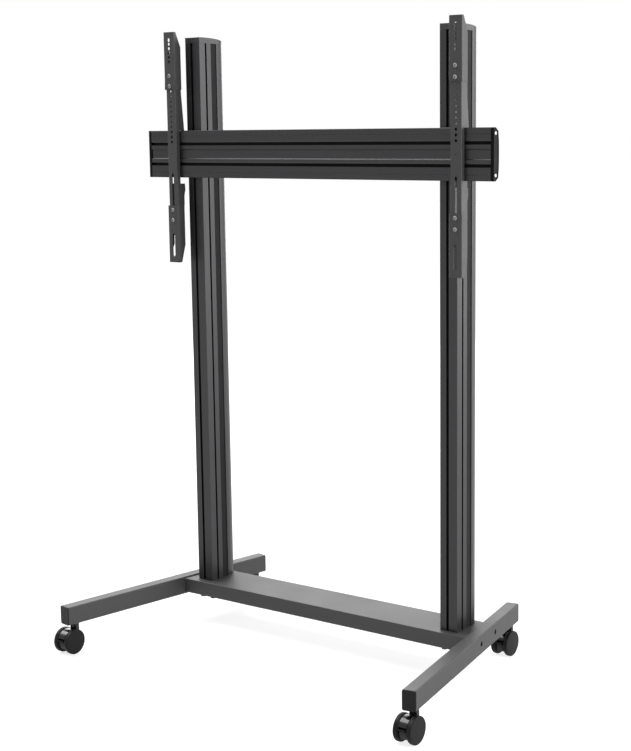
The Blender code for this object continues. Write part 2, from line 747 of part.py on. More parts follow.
def cap_profile():
    """Side view of a column cap: flat in front, falling in a curve to the rear."""
    base = COLUMN_TOP + TOUCH_GAP
    fall = COLUMN_CAP_HEIGHT - COLUMN_CAP_LIP
    edge = COLUMN_CAP_EDGE
    points = [(-CUT_OVER, base), (COLUMN_DEPTH + CUT_OVER, base)]
    points += arc((COLUMN_CAP_FLAT, base + COLUMN_CAP_LIP), COLUMN_DEPTH - COLUMN_CAP_FLAT, 0, 90, 10, fall)
    points += arc((edge, base + COLUMN_CAP_HEIGHT - edge), edge, 90, 180, 2)
    points += [(-CUT_OVER, base + COLUMN_CAP_HEIGHT - 2 * edge)]
    points.insert(2, (COLUMN_DEPTH + CUT_OVER, base + COLUMN_CAP_LIP))
    return points


def build_column_cap(builder, side, cart, place):
    """A moulded cap: the column's plan met by the curved side view, with a plug below."""
    plan = outline_mesh("column_cap", [column_outline(slots=False)], COLUMN_TOP + TOUCH_GAP, 2 * COLUMN_CAP_HEIGHT)
    cap = builder.node(f"{SIDE_NAMES[side]}_column_cap", plan, "anodised", cart, place, smooth=True)
    shape = outline_mesh("cap_shape", [cap_profile()], -COLUMN_WIDTH, 2 * COLUMN_WIDTH, "side")
    builder.combine(cap, shape, "INTERSECT")
    plug = [column_cavity(TOUCH_GAP)]
    length = COLUMN_CAP_PLUG + TOUCH_GAP + COLUMN_CAP_LIP / 2
    start = COLUMN_TOP - COLUMN_CAP_PLUG
    builder.combine(cap, outline_mesh("cap_plug", plug, start, length), "UNION")


def build_foot_plate(builder, side, cart):
    """A clamping plate under the beam with its four long bolts, one welded piece."""
    top = BEAM_BOTTOM - TOUCH_GAP
    rows = [back for back in (FRONT_BOLT_BACK, REAR_BOLT_BACK)]
    front = COLUMN_FRONT + rows[0] - FOOT_PLATE_MARGIN
    back = COLUMN_FRONT + rows[1] + FOOT_PLATE_MARGIN
    x = column_x(side)
    half = FOOT_PLATE_WIDTH / 2
    mesh = boxes("foot_plate", [((x - half, front, top - FOOT_PLATE_THICKNESS), (x + half, back, top))])
    plate = builder.node(f"{SIDE_NAMES[side]}_foot_plate", mesh, "dark_steel", cart)
    bolts = bmesh.new()
    bottom = top - FOOT_PLATE_THICKNESS - FOOT_BOLT_HEAD_HEIGHT
    for bolt_x, bolt_y in foot_bolt_places(side):
        head = FOOT_BOLT_HEAD_HEIGHT + FOOT_PLATE_THICKNESS / 2
        add_rod(bolts, "Z", (bolt_x, bolt_y, bottom), head, FOOT_BOLT_HEAD, 6, math.pi / 6)
    builder.combine(plate, finished(bolts, "foot_bolt_heads"), "UNION")
    shanks = bmesh.new()
    for bolt_x, bolt_y in foot_bolt_places(side):
        low = top - FOOT_PLATE_THICKNESS / 2
        add_rod(shanks, "Z", (bolt_x, bolt_y, low), COLUMN_FOOT + FOOT_BOLT_GRIP - low, FOOT_BOLT_RADIUS, 10)
    builder.combine(plate, finished(shanks, "foot_bolt_shanks"), "UNION")


# Rail


def rail_back_edge():
    """Rear of the rail's section from bottom to top, as (depth, height from the middle)."""
    half = RAIL_HEIGHT / 2
    return [
        (RAIL_TOP_FLAT, half),
        (RAIL_TOP_FLAT + RAIL_CHAMFER_DEPTH, half - RAIL_CHAMFER_DROP),
        (RAIL_DEPTH - RAIL_BACK_CURVE, half * 0.55),
        (RAIL_DEPTH, half * 0.3),
    ]


def rail_outline(slots=True, inset=0.0):
    """The rail's section: T-slots, centre recess and score lines in front, one T-slot behind."""
    half = RAIL_HEIGHT / 2
    upper = rail_back_edge()
    scale_u = (RAIL_DEPTH - 2 * inset) / RAIL_DEPTH
    scale_v = (RAIL_HEIGHT - 2 * inset) / RAIL_HEIGHT
    lower = [(u, -v) for u, v in upper]
    points = [(0.0, RAIL_EDGE - half), (RAIL_EDGE, -half), *lower[:3]]
    rear_start, rear_end = lower[3], upper[3]
    rear = [(rear_end[1] - rear_start[1], t_slot(RAIL_REAR_MOUTH))] if slots else []
    rear = [(length / 2, pairs) for length, pairs in rear]
    points += notched_edge(rear_start, rear_end, rear)
    points += [rear_end, *upper[2::-1]]
    front = []
    if slots:
        line = [(-RAIL_LINE_SIZE, 0), (0, RAIL_LINE_SIZE), (RAIL_LINE_SIZE, 0)]
        outer, inner = RAIL_RECESS_HALF, RAIL_RECESS_HALF - RAIL_RECESS_SLOPE
        recess = [(-outer, 0), (-inner, RAIL_RECESS_DEPTH), (inner, RAIL_RECESS_DEPTH), (outer, 0)]
        mouth = RAIL_SLOT_MOUTH / 2
        lip = [(-mouth - RAIL_LIP_HEIGHT, 0), (-mouth - RAIL_LIP_HEIGHT / 2, RAIL_LIP_DEPTH / 4)]
        slot = lip + [(-mouth, RAIL_LIP_DEPTH), *t_slot(RAIL_SLOT_MOUTH)[1:]]
        front = [
            (half - RAIL_LINE_OFFSET, line),
            (half - RAIL_SLOT_OFFSET, slot),
            (half, recess),
            (half + RAIL_SLOT_OFFSET, slot),
            (half + RAIL_LINE_OFFSET, line),
        ]
        front = [(centre - RAIL_EDGE, pairs) for centre, pairs in front]
    points.append((RAIL_EDGE, half))
    points += notched_edge((0.0, half - RAIL_EDGE), (0.0, RAIL_EDGE - half), front)
    return [(inset + u * scale_u, v * scale_v) for u, v in points]


def rail_chamber(way, shrink=0.0):
    """The hollow above (way 1) or below (way -1) the rail's slots, as an outline."""
    half = RAIL_HEIGHT / 2
    wall = RAIL_WALL + shrink
    back = RAIL_TOP_FLAT + RAIL_CHAMFER_DEPTH
    low = RAIL_SLOT_OFFSET + SLOT_CAVITY / 2 + wall
    points = [
        (wall, low),
        (back - wall + RAIL_BACK_CURVE, low),
        (back - wall, half - RAIL_CHAMFER_DROP - wall),
        (RAIL_TOP_FLAT - shrink, half - wall - RAIL_BACK_CURVE),
        (wall, half - wall - RAIL_BACK_CURVE),
    ]
    return points if way > 0 else [(u, -v) for u, v in reversed(points)]


def rail_core():
    """The narrow hollow between the front recess and the rear slot."""
    front = RAIL_RECESS_DEPTH + RAIL_WALL
    back = RAIL_DEPTH - SLOT_LIP - SLOT_DEPTH - RAIL_WALL
    half = RAIL_SLOT_OFFSET - SLOT_CAVITY / 2 - RAIL_WALL
    return [(front, -half), (back, -half), (back, half), (front, half)]


def build_rail(builder, carriage):
    loops = [rail_outline(), rail_chamber(1), rail_chamber(-1), rail_core()]
    mesh = outline_mesh("rail", loops, -RAIL_LENGTH / 2, RAIL_LENGTH, "side")
    builder.node("rail", mesh, "anodised", carriage, (0, RAIL_FRONT, 0), smooth=True)
    for side in (LEFT, RIGHT):
        build_rail_cap(builder, side, carriage)
        build_clamp(builder, side, carriage)


def build_rail_cap(builder, side, carriage):
    """An end cap with the rail's outer section, plugs for its hollows and a sunk outer panel."""
    inner = side * (RAIL_LENGTH / 2 + TOUCH_GAP)
    outer = inner + side * RAIL_CAP_THICKNESS
    place = (0, RAIL_FRONT, 0)
    mesh = outline_mesh("rail_cap", [rail_outline(slots=False)], min(inner, outer), RAIL_CAP_THICKNESS, "side")
    cap = builder.node(f"{SIDE_NAMES[side]}_rail_cap", mesh, "dark_plastic", carriage, place, smooth=True)
    tip = side * (RAIL_LENGTH / 2 - RAIL_CAP_PLUG)
    root = inner + side * RAIL_CAP_THICKNESS / 2
    for way in (1, -1):
        plug = outline_mesh("rail_plug", [rail_chamber(way, TOUCH_GAP)], min(tip, root), abs(root - tip), "side")
        builder.combine(cap, plug, "UNION")
    floor = outer - side * RAIL_CAP_RECESS
    top = outer + side * CUT_OVER
    panel = [rail_outline(slots=False, inset=RAIL_CAP_RIM)]
    builder.combine(cap, outline_mesh("cap_panel", panel, min(floor, top), abs(top - floor), "side"))


def build_clamp(builder, side, carriage):
    """One clamp: a bar in the column's front slot, a plate, and a key in the rail's rear slot."""
    x = column_x(side)
    half = CLAMP_HEIGHT / 2
    plate_front, plate_back = RAIL_REAR + TOUCH_GAP, COLUMN_FRONT - TOUCH_GAP
    middle = (plate_front + plate_back) / 2
    slot_x = x + FRONT_SLOT_SHIFT
    neck = FRONT_SLOT_MOUTH / 2 - RUNNING_GAP
    bar = SLOT_CAVITY / 2 - RUNNING_GAP
    bar_front = COLUMN_FRONT + SLOT_LIP + RUNNING_GAP
    bar_back = COLUMN_FRONT + SLOT_LIP + SLOT_DEPTH - RUNNING_GAP
    key_neck = RAIL_REAR_MOUTH / 2 - TOUCH_GAP
    key_back = RAIL_REAR - SLOT_LIP - TOUCH_GAP
    key_front = RAIL_REAR - SLOT_LIP - SLOT_DEPTH + TOUCH_GAP
    wide = CLAMP_WIDTH / 2
    mesh = boxes("clamp", [((x - wide, plate_front, -half), (x + wide, plate_back, half))])
    clamp = builder.node(f"{SIDE_NAMES[side]}_rail_clamp", mesh, "dark_steel", carriage)
    necks = [
        (
            (slot_x - neck, middle, -half + TOUCH_GAP),
            (slot_x + neck, (bar_front + bar_back) / 2, half - TOUCH_GAP),
        ),
        ((x - wide + TOUCH_GAP, (key_front + key_back) / 2, -key_neck), (x + wide - TOUCH_GAP, middle, key_neck)),
    ]
    for low, high in necks:
        builder.combine(clamp, boxes("clamp_neck", [(low, high)]), "UNION")
    heads = [
        ((slot_x - bar, bar_front, -half), (slot_x + bar, bar_back, half)),
        ((x - wide, key_front, -SLOT_CAVITY / 2 + TOUCH_GAP), (x + wide, key_back, SLOT_CAVITY / 2 - TOUCH_GAP)),
    ]
    for low, high in heads:
        builder.combine(clamp, boxes("clamp_head", [(low, high)]), "UNION")


# Screen arms


def channel(builder, name, width, outline, material, parent, location):
    """A bent sheet channel: its side view made solid, front edges rounded, inside cut away."""
    solid = outline_mesh(name, [outline], -width / 2, width, "side")
    bm = bmesh.new()
    bm.from_mesh(solid)
    bpy.data.meshes.remove(solid)
    bends = [
        edge
        for edge in bm.edges
        if all(abs(v.co.y) < 1e-6 for v in edge.verts)
        and abs(edge.verts[0].co.x - edge.verts[1].co.x) < 1e-6
        and edge.calc_face_angle(0.0) > 0.5
    ]
    bmesh.ops.bevel(bm, geom=bends, offset=ARM_BEND, segments=3, profile=0.5, affect="EDGES")
    obj = builder.node(name, finished(bm, name), material, parent, location, smooth=True)
    heights = [v for _, v in outline]
    deep = max(u for u, _ in outline)
    half = width / 2 - ARM_SHEET
    low = (-half, ARM_SHEET, min(heights) - CUT_OVER)
    high = (half, deep + CUT_OVER, max(heights) + CUT_OVER)
    builder.combine(obj, boxes(f"{name}_inside", [(low, high)]))
    return obj


def relieve_left_flange(builder, obj, width, line, top):
    """Trims a channel's left flange behind a (depth, height) line, up past the channel's top."""
    deep = max(depth for depth, _ in line) + CUT_OVER
    outline = [*line, (line[-1][0], top + CUT_OVER), (deep, top + CUT_OVER), (deep, line[0][1])]
    start = -width / 2 - CUT_OVER
    mesh = outline_mesh("flange_relief", [outline], start, ARM_SHEET + 2 * CUT_OVER, "side")
    return builder.combine(obj, mesh)


def hook_line(depth):
    """Height of the hook's underside over the rail's rear chamfer at a depth behind the arm's face."""
    slope = RAIL_CHAMFER_DROP / RAIL_CHAMFER_DEPTH
    lift = TOUCH_GAP * math.sqrt(1 + slope * slope)
    return RAIL_HEIGHT / 2 + lift - slope * (depth - ARM_STANDOFF - RAIL_TOP_FLAT)


def arm_outline():
    """Side view of a main arm: hook over the rail, clear notch in front of it, latch below it."""
    half = RAIL_HEIGHT / 2
    rail_clear = ARM_STANDOFF - TOUCH_GAP
    seat = half + TOUCH_GAP
    slope = RAIL_CHAMFER_DROP / RAIL_CHAMFER_DEPTH
    bend = ARM_STANDOFF + RAIL_TOP_FLAT + (hook_line(ARM_STANDOFF + RAIL_TOP_FLAT) - seat) / slope
    latch = -half - HOOK_LIFT
    return [
        (0.0, -ARM_BOTTOM),
        (ARM_TAIL_DEPTH, -ARM_BOTTOM),
        (ARM_TAIL_DEPTH, latch - ARM_TAIL_DROP),
        (ARM_LOW_DEPTH, latch - ARM_TAIL_DROP + ARM_LOW_DEPTH - ARM_TAIL_DEPTH),
        (ARM_LOW_DEPTH, latch - LATCH_END_DROP),
        (LATCH_BULGE, latch - LATCH_BULGE_DROP),
        (LATCH_DEPTH, latch),
        (rail_clear, latch),
        (rail_clear, seat),
        (bend, seat),
        (HOOK_REACH, hook_line(HOOK_REACH)),
        (HOOK_REACH, half + HOOK_SHOULDER),
        (ARM_TOP_DEPTH, ARM_TOP),
        (0.0, ARM_TOP),
    ]


def round_holes(centres_and_radii, start, length, segments=10):
    bm = bmesh.new()
    for height, radius in centres_and_radii:
        add_rod(bm, "Y", (0, start, height), length, radius, segments)
    return bm


def build_arm(builder, side, frame):
    name = SIDE_NAMES[side]
    place = (0, ARM_FACE, 0)
    arm = channel(builder, f"{name}_arm", ARM_WIDTH, arm_outline(), "arm_coat", frame, place)
    line = [
        (HOOK_REACH, ARM_RELIEF_START),
        (ARM_RELIEF_DEPTH, ARM_RELIEF_MIDDLE),
        (ARM_RELIEF_TIP, ARM_TOP),
    ]
    relieve_left_flange(builder, arm, ARM_WIDTH, line, ARM_TOP)
    holes = [(0.0, ARM_PILOT_RADIUS)]
    for i in range(ARM_HOLE_COUNT):
        radius = ARM_LARGE_RADIUS if i < ARM_LARGE_HOLES else ARM_HOLE_RADIUS
        holes.append((ARM_HOLE_FIRST + i * ARM_HOLE_PITCH, radius))
    drill_length = ARM_SHEET + 2 * CUT_OVER
    builder.combine(arm, finished(round_holes(holes, -CUT_OVER, drill_length), "arm_drills"))
    slot = stadium(ARM_SLOT_WIDTH, -ARM_SLOT_TOP - ARM_SLOT_LENGTH, -ARM_SLOT_TOP)
    cut_start = -(ARM_SHEET + CUT_OVER)
    builder.combine(arm, outline_mesh("arm_slot", [slot], cut_start, drill_length, "front"))
    build_upper_bracket(builder, side, frame)


def upper_bracket_screws():
    return [ARM_HOLE_FIRST + i * ARM_HOLE_PITCH for i in UPPER_SCREW_HOLES]


def lower_bracket_screws():
    first = -LOWER_BRACKET_TOP - LOWER_SCREW_INSET
    return [first, first - LOWER_SCREW_PITCH]


def build_upper_bracket(builder, side, frame):
    name = f"{SIDE_NAMES[side]}_upper_bracket"
    low = UPPER_BRACKET_BOTTOM
    high = low + UPPER_BRACKET_LENGTH
    outline = [
        (0.0, low),
        (BRACKET_DEPTH, low),
        (BRACKET_DEPTH, high - UPPER_TAPER),
        (UPPER_TIP_DEPTH, high),
        (0.0, high),
    ]
    place = (0, BRACKET_FACE, 0)
    bracket = channel(builder, name, BRACKET_WIDTH, outline, "arm_coat", frame, place)
    knee = (UPPER_RELIEF_DEPTH, high - UPPER_RELIEF_KNEE)
    line = [(BRACKET_DEPTH, high - UPPER_RELIEF), knee, (UPPER_TIP_DEPTH, high)]
    relieve_left_flange(builder, bracket, BRACKET_WIDTH, line, high)
    heights = [high - UPPER_HOLE_INSET - i * UPPER_HOLE_PITCH for i in range(UPPER_HOLES)]
    holes = [(height, UPPER_HOLE_RADIUS) for height in heights[1:]]
    holes += [(height, SCREW_RADIUS + TOUCH_GAP) for height in upper_bracket_screws()]
    drill_length = ARM_SHEET + 2 * CUT_OVER
    builder.combine(bracket, finished(round_holes(holes, -CUT_OVER, drill_length), "bracket_drills"))
    top_low = heights[0] - UPPER_HOLE_RADIUS - UPPER_TOP_HOLE_STRETCH
    top_hole = stadium(2 * UPPER_HOLE_RADIUS, top_low, heights[0] + UPPER_HOLE_RADIUS)
    cut_start = -(ARM_SHEET + CUT_OVER)
    builder.combine(bracket, outline_mesh("bracket_top_hole", [top_hole], cut_start, drill_length, "front"))
    for i, height in enumerate(upper_bracket_screws()):
        build_screw(builder, f"{SIDE_NAMES[side]}_upper_screw_{i + 1}", frame, height)


def build_lower_bracket(builder, side, frame):
    name = f"{SIDE_NAMES[side]}_lower_bracket"
    high = -LOWER_BRACKET_TOP
    low = high - LOWER_BRACKET_LENGTH
    outline = [
        (0.0, low),
        (LOWER_TIP_DEPTH, low),
        (BRACKET_DEPTH, low + LOWER_TAPER),
        (BRACKET_DEPTH, high),
        (0.0, high),
    ]
    place = (0, BRACKET_FACE, 0)
    bracket = channel(builder, name, BRACKET_WIDTH, outline, "arm_coat", frame, place)
    line = [
        (BRACKET_DEPTH, low - CUT_OVER),
        (LOWER_RELIEF_TIP, low - CUT_OVER),
        (LOWER_RELIEF_TIP, low + LOWER_RELIEF_START),
        (LOWER_RELIEF_DEPTH, low + LOWER_RELIEF_END),
        (LOWER_RELIEF_DEPTH, high),
    ]
    relieve_left_flange(builder, bracket, BRACKET_WIDTH, line, high)
    holes = [(height, SCREW_RADIUS + TOUCH_GAP) for height in lower_bracket_screws()]
    drill_length = ARM_SHEET + 2 * CUT_OVER
    builder.combine(bracket, finished(round_holes(holes, -CUT_OVER, drill_length), "bracket_drills"))
    slot = stadium(LOWER_SLOT_WIDTH, low + LOWER_SLOT_RISE, low + LOWER_SLOT_RISE + LOWER_SLOT_LENGTH)
    cut_start = -(ARM_SHEET + CUT_OVER)
    builder.combine(bracket, outline_mesh("bracket_slot", [slot], cut_start, drill_length, "front"))
    for i, height in enumerate(lower_bracket_screws()):
        build_screw(builder, f"{SIDE_NAMES[side]}_lower_screw_{i + 1}", frame, height)


def build_screw(builder, name, frame, height):
    """A button-head screw through a bracket and its arm, with its nut on the arm's inner face."""
    grip = 2 * ARM_SHEET + 3 * TOUCH_GAP
    bm = bmesh.new()
    add_rod(bm, "Y", (0, -SCREW_HEAD_HEIGHT / 3, 0), grip + SCREW_NUT_HEIGHT, SCREW_RADIUS, 10)
    place = (0, BRACKET_FACE, height)
    screw = builder.node(name, finished(bm, "screw"), "bright_steel", frame, place, smooth=True)
    head = bmesh.new()
    rim = SCREW_HEAD_HEIGHT * 0.4
    add_rod(head, "Y", (0, -TOUCH_GAP - rim, 0), rim, SCREW_HEAD_RADIUS, 14)
    front = [face for face in head.faces if face.calc_center_median().y < -TOUCH_GAP - rim * 0.9]
    grown = bmesh.ops.extrude_face_region(head, geom=front)
    tip = [item for item in grown["geom"] if isinstance(item, bmesh.types.BMVert)]
    bmesh.ops.delete(head, geom=front, context="FACES_ONLY")
    bmesh.ops.translate(head, verts=tip, vec=(0, -(SCREW_HEAD_HEIGHT - rim), 0))
    middle = Vector((0, -SCREW_HEAD_HEIGHT, 0))
    bmesh.ops.scale(head, verts=tip, vec=(0.62, 1, 0.62), space=Matrix.Translation(-middle))
    builder.combine(screw, finished(head, "screw_head"), "UNION")
    nut = bmesh.new()
    add_rod(nut, "Y", (0, grip, 0), SCREW_NUT_HEIGHT, SCREW_NUT_RADIUS, 6)
    builder.combine(screw, finished(nut, "screw_nut"), "UNION")
    socket = bmesh.new()
    start = -TOUCH_GAP - SCREW_HEAD_HEIGHT - CUT_OVER
    add_rod(socket, "Y", (0, start, 0), CUT_OVER + SCREW_SOCKET_DEPTH, SCREW_SOCKET_RADIUS, 6)
    builder.combine(screw, finished(socket, "screw_socket"))


# Casters


def caster_origin(side, end):
    x, y = leg_point(side, leg_stem_along(end))
    return (x, y, 0)


def build_caster_stem(builder, name, cart, place):
    """The fixed stem: a threaded end and nut in the leg, a collar, and the pivot below it."""
    bottom = CASTER_HEIGHT
    nut_low = bottom + LEG_WALL + TOUCH_GAP
    collar = bottom - TOUCH_GAP
    profile = [
        (bottom + STEM_RISE, 0.0),
        (bottom + STEM_RISE, STEM_RADIUS),
        (nut_low + STEM_NUT_HEIGHT, STEM_RADIUS),
        (nut_low + STEM_NUT_HEIGHT, STEM_NUT_RADIUS),
        (nut_low, STEM_NUT_RADIUS),
        (nut_low, STEM_RADIUS),
        (collar, STEM_RADIUS),
        (collar, COLLAR_RADIUS),
        (collar - COLLAR_THICKNESS, COLLAR_RADIUS),
        (collar - COLLAR_THICKNESS, STEM_RADIUS),
        (collar - COLLAR_THICKNESS - STEM_DROP, STEM_RADIUS),
        (collar - COLLAR_THICKNESS - STEM_DROP, 0.0),
    ]
    turned(builder, f"{name}_stem", profile, "dark_steel", cart, place, 16, axis="Z")


def hood_angles():
    """Angles about the axle, in degrees, of the hood's rear edge and of its front lip."""
    return 12.0, 180.0 - math.degrees(math.asin(HOOD_LIP_RISE / HOOD_RADIUS))


def hood_outline():
    """Side view of the glossy hood about the axle, closed below by a flat from lip to rear edge."""
    rear, lip = hood_angles()
    return arc((0, 0), HOOD_RADIUS, rear, lip, 14)


def drum_outline():
    """Side view of the drum under the hood: flat at its floor, and as high as the hood's middle."""
    low = math.degrees(math.asin((WHEEL_RADIUS - DRUM_FLOOR) / DRUM_RADIUS))
    front = math.degrees(math.asin(min(1.0, (HOOD_LIP_RISE - PEDAL_POCKET_OVER) / DRUM_RADIUS)))
    points = arc((0, 0), DRUM_RADIUS, 180 - front, 180 + low, 5)
    points += arc((0, 0), DRUM_RADIUS, 360 - low, 368, 5)
    return points + arc((0, 0), HOOD_RADIUS * 0.8, 60, 120, 4)


def build_fork(builder, name, swivel):
    """The swivelling body between the wheels, with its neck, stem socket, axle and pedal pocket."""
    outlines = [
        [(u - CASTER_TRAIL, v + WHEEL_RADIUS) for u, v in points] for points in (hood_outline(), drum_outline())
    ]
    body = outline_mesh("fork", outlines[:1], -FORK_HALF, FORK_WIDTH, "side")
    fork = builder.node(f"{name}_fork", body, "caster_gloss", swivel, smooth=True)
    drum = outline_mesh("drum", outlines[1:], -DRUM_WIDTH / 2, DRUM_WIDTH, "side")
    builder.combine(fork, drum, "UNION")
    neck_top = CASTER_HEIGHT - COLLAR_THICKNESS - 2 * TOUCH_GAP
    neck = bmesh.new()
    neck_low = WHEEL_RADIUS + AXLE_RADIUS
    add_rod(neck, "Z", (0, 0, neck_low), neck_top - neck_low, NECK_RADIUS, 20)
    builder.combine(fork, finished(neck, "neck"), "UNION")
    trim = bmesh.new()
    for way in (-1, 1):
        low, high = sorted((way * FORK_HALF, way * (FORK_HALF + CUT_OVER + NECK_RADIUS)))
        add_box(trim, (low, -NECK_RADIUS - CUT_OVER, 0), (high, NECK_RADIUS + CUT_OVER, wheel_clear_height()))
    builder.combine(fork, finished(trim, "neck_flats"))
    axle = bmesh.new()
    reach = FORK_HALF + WHEEL_THICKNESS - WHEEL_FACE - TOUCH_GAP
    add_rod(axle, "X", (-reach, -CASTER_TRAIL, WHEEL_RADIUS), 2 * reach, AXLE_RADIUS, 14)
    builder.combine(fork, finished(axle, "axle"), "UNION")
    socket = bmesh.new()
    depth = STEM_DROP + TOUCH_GAP
    add_rod(socket, "Z", (0, 0, neck_top - depth), depth + CUT_OVER, STEM_RADIUS + TOUCH_GAP, 16)
    builder.combine(fork, finished(socket, "stem_socket"))
    builder.combine(fork, pedal_pocket())
    builder.combine(fork, pedal_pin_ways())


def wheel_clear_height():
    """Height up to which the neck keeps to the fork's width, clear of the wheels' rims."""
    return 2 * WHEEL_RADIUS + 2 * TOUCH_GAP


def pedal_pivot():
    """Y and Z of a brake pedal's pivot from the caster's stem."""
    return -CASTER_TRAIL - HOOD_RADIUS + PEDAL_REACH, WHEEL_RADIUS + PEDAL_RISE


def pedal_pocket():
    y, z = pedal_pivot()
    half = PEDAL_WIDTH / 2 + TOUCH_GAP
    back = y + PEDAL_BOSS + RUNNING_GAP
    front = y - PEDAL_REACH - PEDAL_OVERHANG - CUT_OVER
    low = z - PEDAL_POCKET_UNDER
    return boxes("pedal_pocket", [((-half, front, low), (half, back, z + PEDAL_POCKET_OVER))])


def pedal_pin_ways():
    y, z = pedal_pivot()
    reach = PEDAL_WIDTH / 2 + PEDAL_PIN_REACH + 2 * TOUCH_GAP
    bm = bmesh.new()
    add_rod(bm, "X", (-reach, y, z), 2 * reach, PEDAL_PIN_RADIUS + TOUCH_GAP, 10)
    return finished(bm, "pedal_pin_ways")


def build_pedal(builder, name, frame):
    """The brake pedal: a tongue with a raised lip, turning on a cross pin."""
    half = PEDAL_THICKNESS / 2
    tip = -(PEDAL_REACH + PEDAL_OVERHANG)
    outline = arc((0, 0), PEDAL_BOSS, -120, 120, 6)
    outline += [(-PEDAL_BOSS, half), (tip + half, half), (tip, half * 0.4), (tip, -half * 0.4), (tip + half, -half)]
    outline += [(-PEDAL_BOSS, -half)]
    mesh = outline_mesh("pedal", [outline], -PEDAL_WIDTH / 2, PEDAL_WIDTH, "side")
    pedal = builder.node(f"{name}_brake_pedal", mesh, "wheel_plastic", frame, smooth=True)
    pin = bmesh.new()
    reach = PEDAL_WIDTH / 2 + PEDAL_PIN_REACH
    add_rod(pin, "X", (-reach, 0, 0), 2 * reach, PEDAL_PIN_RADIUS, 10)
    builder.combine(pedal, finished(pin, "pedal_pin"), "UNION")
    bar_half = PEDAL_BAR_WIDTH / 2
    bar = boxes("pedal_bar", [((-bar_half, tip - half * 0.2, -half * 0.9), (bar_half, tip + PEDAL_BAR_DEPTH, half * 0.9))])
    builder.combine(pedal, bar, "UNION")


def wheel_profile(side):
    """A wheel's profile along the axle from the fork outwards, with a blind bore for the axle."""
    rim = wheel_rim()
    inner = FORK_HALF + TOUCH_GAP
    outer = inner + WHEEL_THICKNESS
    bore = AXLE_RADIUS + 0.0001
    floor = outer - WHEEL_FACE + TOUCH_GAP
    round_in, round_out = WHEEL_INNER_ROUND, WHEEL_EDGE
    profile = [(floor, 0.0), (floor, bore), (inner, bore)]
    profile += arc((inner + round_in, rim - round_in), round_in, 180, 90, 4)
    profile += arc((outer - round_out, rim - round_out), round_out, 90, 0, 3)
    profile += [(outer + WHEEL_DOME, 0.0)]
    if side == LEFT:
        return [(-along, radius) for along, radius in profile]
    return profile


def build_caster(builder, side, end, cart):
    name = f"{SIDE_NAMES[side]}_{end}"
    place = caster_origin(side, end)
    build_caster_stem(builder, name, cart, place)
    swivel = builder.empty(f"{name}_swivel", place, cart)
    build_fork(builder, name, swivel)
    y, z = pedal_pivot()
    build_pedal(builder, name, builder.empty(f"{name}_pedal_pivot", (0, y, z), swivel))
    axle = builder.empty(f"{name}_axle", (0, -CASTER_TRAIL, WHEEL_RADIUS), swivel)
    for wheel_side in (LEFT, RIGHT):
        turned(
            builder,
            f"{name}_{SIDE_NAMES[wheel_side]}_wheel",
            wheel_profile(wheel_side),
            "wheel_plastic",
            axle,
            (0, 0, 0),
            WHEEL_SEGMENTS,
            turn=math.pi / WHEEL_SEGMENTS,
        )


def main():
    clear_scene()
    builder = Builder()
    cart = builder.empty("cart", (0, -base_centre_y(), 0))
    build_beam(builder, cart)
    for side in (LEFT, RIGHT):
        name = SIDE_NAMES[side]
        frame = builder.empty(f"{name}_leg_frame", (side * LEG_CENTRE_X, 0, 0), cart, side * LEG_SPLAY)
        build_leg(builder, side, frame)
        build_leg_bolts(builder, side, frame)
        build_column(builder, side, cart)
        for end in ENDS:
            build_caster(builder, side, end, cart)
    carriage = builder.empty("rail_carriage", (0, 0, RAIL_CENTRE_HEIGHT), cart)
    build_rail(builder, carriage)
    for side in (LEFT, RIGHT):
        name = SIDE_NAMES[side]
        arm_frame = builder.empty(f"{name}_arm_slide", (side * ARM_CENTRE_X, 0, 0), carriage)
        build_arm(builder, side, arm_frame)
        bracket_frame = builder.empty(f"{name}_bracket_slide", (0, 0, 0), arm_frame)
        build_lower_bracket(builder, side, bracket_frame)


main()
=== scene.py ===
"""Looks of a video conferencing cart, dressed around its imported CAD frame.

The CAD gives every place and size. This script gives each surface its finish, rebuilds the wheels
with finer shapes, adds the end caps' screws, which are too small for the frame, and sets a plain
studio with the photograph's camera. Metres, +Z up, the front is -Y and +X is the viewer's right.
"""

import logging
import math
from dataclasses import dataclass, field
from enum import Enum
from typing import Callable, Optional, Sequence

import bmesh
import bpy
from mathutils import Matrix, Vector


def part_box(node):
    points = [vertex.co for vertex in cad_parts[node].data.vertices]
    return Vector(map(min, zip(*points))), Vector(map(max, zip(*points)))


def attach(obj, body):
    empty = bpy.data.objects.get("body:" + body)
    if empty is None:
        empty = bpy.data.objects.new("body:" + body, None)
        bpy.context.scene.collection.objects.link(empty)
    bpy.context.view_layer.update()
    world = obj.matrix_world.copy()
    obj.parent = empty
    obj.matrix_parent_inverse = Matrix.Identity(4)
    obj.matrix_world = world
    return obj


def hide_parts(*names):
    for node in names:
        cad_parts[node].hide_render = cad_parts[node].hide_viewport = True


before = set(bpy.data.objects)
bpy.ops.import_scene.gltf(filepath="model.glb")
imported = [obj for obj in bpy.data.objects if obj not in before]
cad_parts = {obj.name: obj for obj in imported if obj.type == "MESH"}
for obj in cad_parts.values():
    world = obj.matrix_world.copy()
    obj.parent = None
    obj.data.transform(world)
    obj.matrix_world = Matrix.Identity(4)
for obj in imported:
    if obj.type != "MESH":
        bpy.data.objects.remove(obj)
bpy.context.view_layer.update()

LOG = logging.getLogger("cart")

# A colour is linear red, green and blue, a triple runs along X, Y and Z, and a pair is any two numbers
Colour = tuple[float, float, float]
Triple = tuple[float, float, float]
Pair = tuple[float, float]
EdgeTest = Callable[[bmesh.types.BMEdge], bool]
FaceTest = Callable[[bmesh.types.BMFace], bool]
Reshape = Callable[[bmesh.types.BMesh], None]

